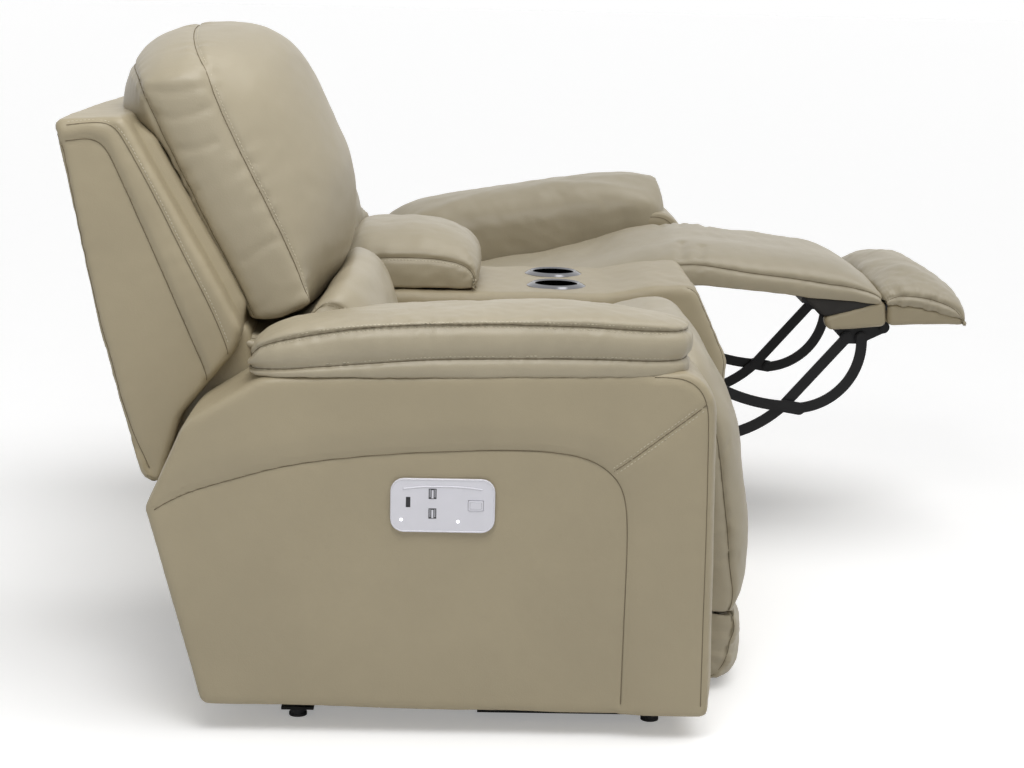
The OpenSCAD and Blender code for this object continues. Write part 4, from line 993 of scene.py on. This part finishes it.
def power_panel(side):
    for name, body, width in (("power_panel", "seat", 0.0014), ("seat_button", "button", 0.0009)):
        o = node_copy(f"{side}_{name}", f"{side}_{name}_gloss", WHITE)
        m = o.modifiers.new("weld", "WELD")
        m.merge_threshold = 0.00002
        m = o.modifiers.new("bevel", "BEVEL")
        m.width, m.segments, m.limit_method, m.angle_limit = width, 3, "ANGLE", math.radians(40)
        applied(o)
        o.data.shade_smooth()
        o.modifiers.new("normals", "WEIGHTED_NORMAL")
        applied(o)
        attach(o, f"{side}_{body}")
        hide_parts(f"{side}_{name}")

    def add(o, body="seat"):
        dress([o], side, body)

    # Charging sockets: dark boxes of painted shade in their mouths, with metal sides and a tongue
    # in the two wide ones
    for u, z, w, h in SOCKETS:
        low, high = z - h / 2, z + h / 2
        add(cuboid("socket_mouth_shade", (952.5, u - w / 2, low), (954.3, u + w / 2, high), DARK))
        if w > 8:
            for v in (u - 3.6, u + 3.6):
                add(cuboid("socket_side", (953, v - 0.9, low + 2.4), (954.7, v + 0.9, high - 1),
                           GREY))
            add(cuboid("socket_tongue", (953, u - 1.5, low + 1), (954.9, u + 1.5, high - 2),
                       WHITE))
    # Two indicator lights, the raised ridge near the top edge and the rim
    t = around(24)
    for u, z in LIGHTS:
        rings = [at(x, np.stack([u + r * np.cos(t), z + r * np.sin(t)], 1))
                 for x, r in ((952, 2.3), (954.2, 2.3), (954.8, 1.6), (955, 0.4))]
        add(loft("indicator", rings, LIGHT))
    add(rod("panel_ridge", at(954.0, spline(RIDGE, 8)), 0.0011, WHITE))
    add(rod("panel_rim", at(953.6, rounded(RIM, 10)), 0.0012, WHITE, closed=True))
    # Shaded border pressed into the button face
    border = at(955.5, rounded(BUTTON, 4))
    add(rod("button_line", border, 0.0003, GREY, 6, closed=True), body="button")


# ---- frame parts
def finish_nodes():
    """Materials of the parts that stay as the source has them."""
    for material, names in (
            (STEEL, "base_frame glide_rails lid_hinge lid_leaf carriage side_plates seat_springs "
                    "drive_motor link_a link_b link_c link_d"),
            (PLY, "console_frame lid_board seat_frame arm_frame back_frame"),
            (DARK, "floor_feet power_supply console_bin drive_nut"), (CHROME, "cup_holders")):
        for name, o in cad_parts.items():
            if name.removeprefix("right_").removeprefix("left_") in names.split():
                paint(o, material)


# ---- room
FLOOR_GLOW, SKY_LIGHT, SKY_SEEN = 0.3, 0.22, 1.0
SUN_POWER, SUN_WIDTH, SUN_AHEAD = 1.6, 56, (0.05, 0.36, -1)
LAMP_POWER, LAMP_SIZE, LAMP_AT, LAMP_AHEAD = 18, 1.2, (-1.9, 0.4, 2.1), (1.25, 0.15, -1.1)


def lit(name, kind, power, at_point, ahead):
    """A light that shines along a direction."""
    lamp = bpy.data.lights.new(name, kind)
    lamp.energy = power
    o = bpy.data.objects.new(name, lamp)
    o.location, o.rotation_euler = at_point, Vector(ahead).to_track_quat("-Z", "Y").to_euler()
    bpy.context.scene.collection.objects.link(o)
    return o


def room():
    """White studio: a floor, a wide sun, a lamp at the side and an even sky."""
    scene = bpy.context.scene
    floor_mat, tree, n = shader("floor", (0.9, 0.9, 0.9), 0.6,
                                **{"Specular IOR Level": 0.1, "Emission Color": (1, 1, 1, 1)})
    fine = ramp(tree, noise(tree, 6.0).outputs["Fac"], (0.895, 0.895, 0.895), (0.905, 0.905, 0.905))
    tree.links.new(fine, n.inputs["Base Color"])
    # The camera sees the floor a little lighter, as the white ground of a studio
    seen, seen_light = tree.nodes.new("ShaderNodeLightPath"), node(tree, "ShaderNodeMath")
    seen_light.operation = "MULTIPLY"
    seen_light.inputs[1].default_value = FLOOR_GLOW
    tree.links.new(seen.outputs["Is Camera Ray"], seen_light.inputs[0])
    tree.links.new(seen_light.outputs["Value"], n.inputs["Emission Strength"])
    floor = make("floor", [(-60, -60, 0), (60, -60, 0), (60, 60, 0), (-60, 60, 0)],
                 [(0, 1, 2, 3)], floor_mat, smooth=False)
    key = lit("key", "SUN", SUN_POWER, (0, 0, 4), SUN_AHEAD)
    key.data.angle = math.radians(SUN_WIDTH)
    soft_side = lit("side", "AREA", LAMP_POWER, LAMP_AT, LAMP_AHEAD)
    soft_side.data.shape, soft_side.data.size = "DISK", LAMP_SIZE
    # The sky lights softly, and camera, glossy and clear rays see it white
    world = bpy.data.worlds.new("studio")
    scene.world = world
    world.use_nodes = True
    t = world.node_tree
    t.nodes.clear()
    out, mix = t.nodes.new("ShaderNodeOutputWorld"), t.nodes.new("ShaderNodeMixShader")
    soft, white = (node(t, "ShaderNodeBackground", Color=(1, 1, 1, 1), Strength=strength)
                   for strength in (SKY_LIGHT, SKY_SEEN))
    path = t.nodes.new("ShaderNodeLightPath")
    bright = path.outputs["Is Camera Ray"]
    for ray in ("Is Glossy Ray", "Is Transmission Ray"):
        either = t.nodes.new("ShaderNodeMath")
        either.operation = "MAXIMUM"
        t.links.new(bright, either.inputs[0])
        t.links.new(path.outputs[ray], either.inputs[1])
        bright = either.outputs["Value"]
    t.links.new(bright, mix.inputs["Fac"])
    t.links.new(soft.outputs["Background"], mix.inputs[1])
    t.links.new(white.outputs["Background"], mix.inputs[2])
    t.links.new(mix.outputs["Shader"], out.inputs["Surface"])
    scene.view_settings.view_transform = "Standard"


# The photo's camera as it was solved: place in metres, lens for a 36 mm sensor, and its turn, its
# tilt down and its roll in radians
CAMERA_AT, LENS = (-3.85, MIDDLE / 1000, 1.1365), 71.23
TURN, DOWN, ROLL = 0.0212189, 0.200346, 0.0218633


def camera():
    f = Vector((math.cos(DOWN) * math.cos(TURN), -math.cos(DOWN) * math.sin(TURN), -math.sin(DOWN)))
    r = f.cross(Vector((0, 0, 1))).normalized()
    d = f.cross(r)
    x = r * math.cos(ROLL) - d * math.sin(ROLL)
    y = -(r * math.sin(ROLL) + d * math.cos(ROLL))
    data = bpy.data.cameras.new("camera")
    data.lens, data.sensor_width = LENS, 36
    o = bpy.data.objects.new("camera", data)
    bpy.context.scene.collection.objects.link(o)
    o.matrix_world = Matrix([(*row, at_point) for row, at_point in zip(zip(x, y, -f), CAMERA_AT)]
                            + [(0, 0, 0, 1)])
    bpy.context.scene.camera = o


for side in ("right", "left"):
    for piece in (arm_body, arm_pad, back_body, head_pillow, lumbar_pad, chaise, flip_pad,
                  power_panel):
        piece(side)
console_body()
console_lid()
finish_nodes()
room()
camera()
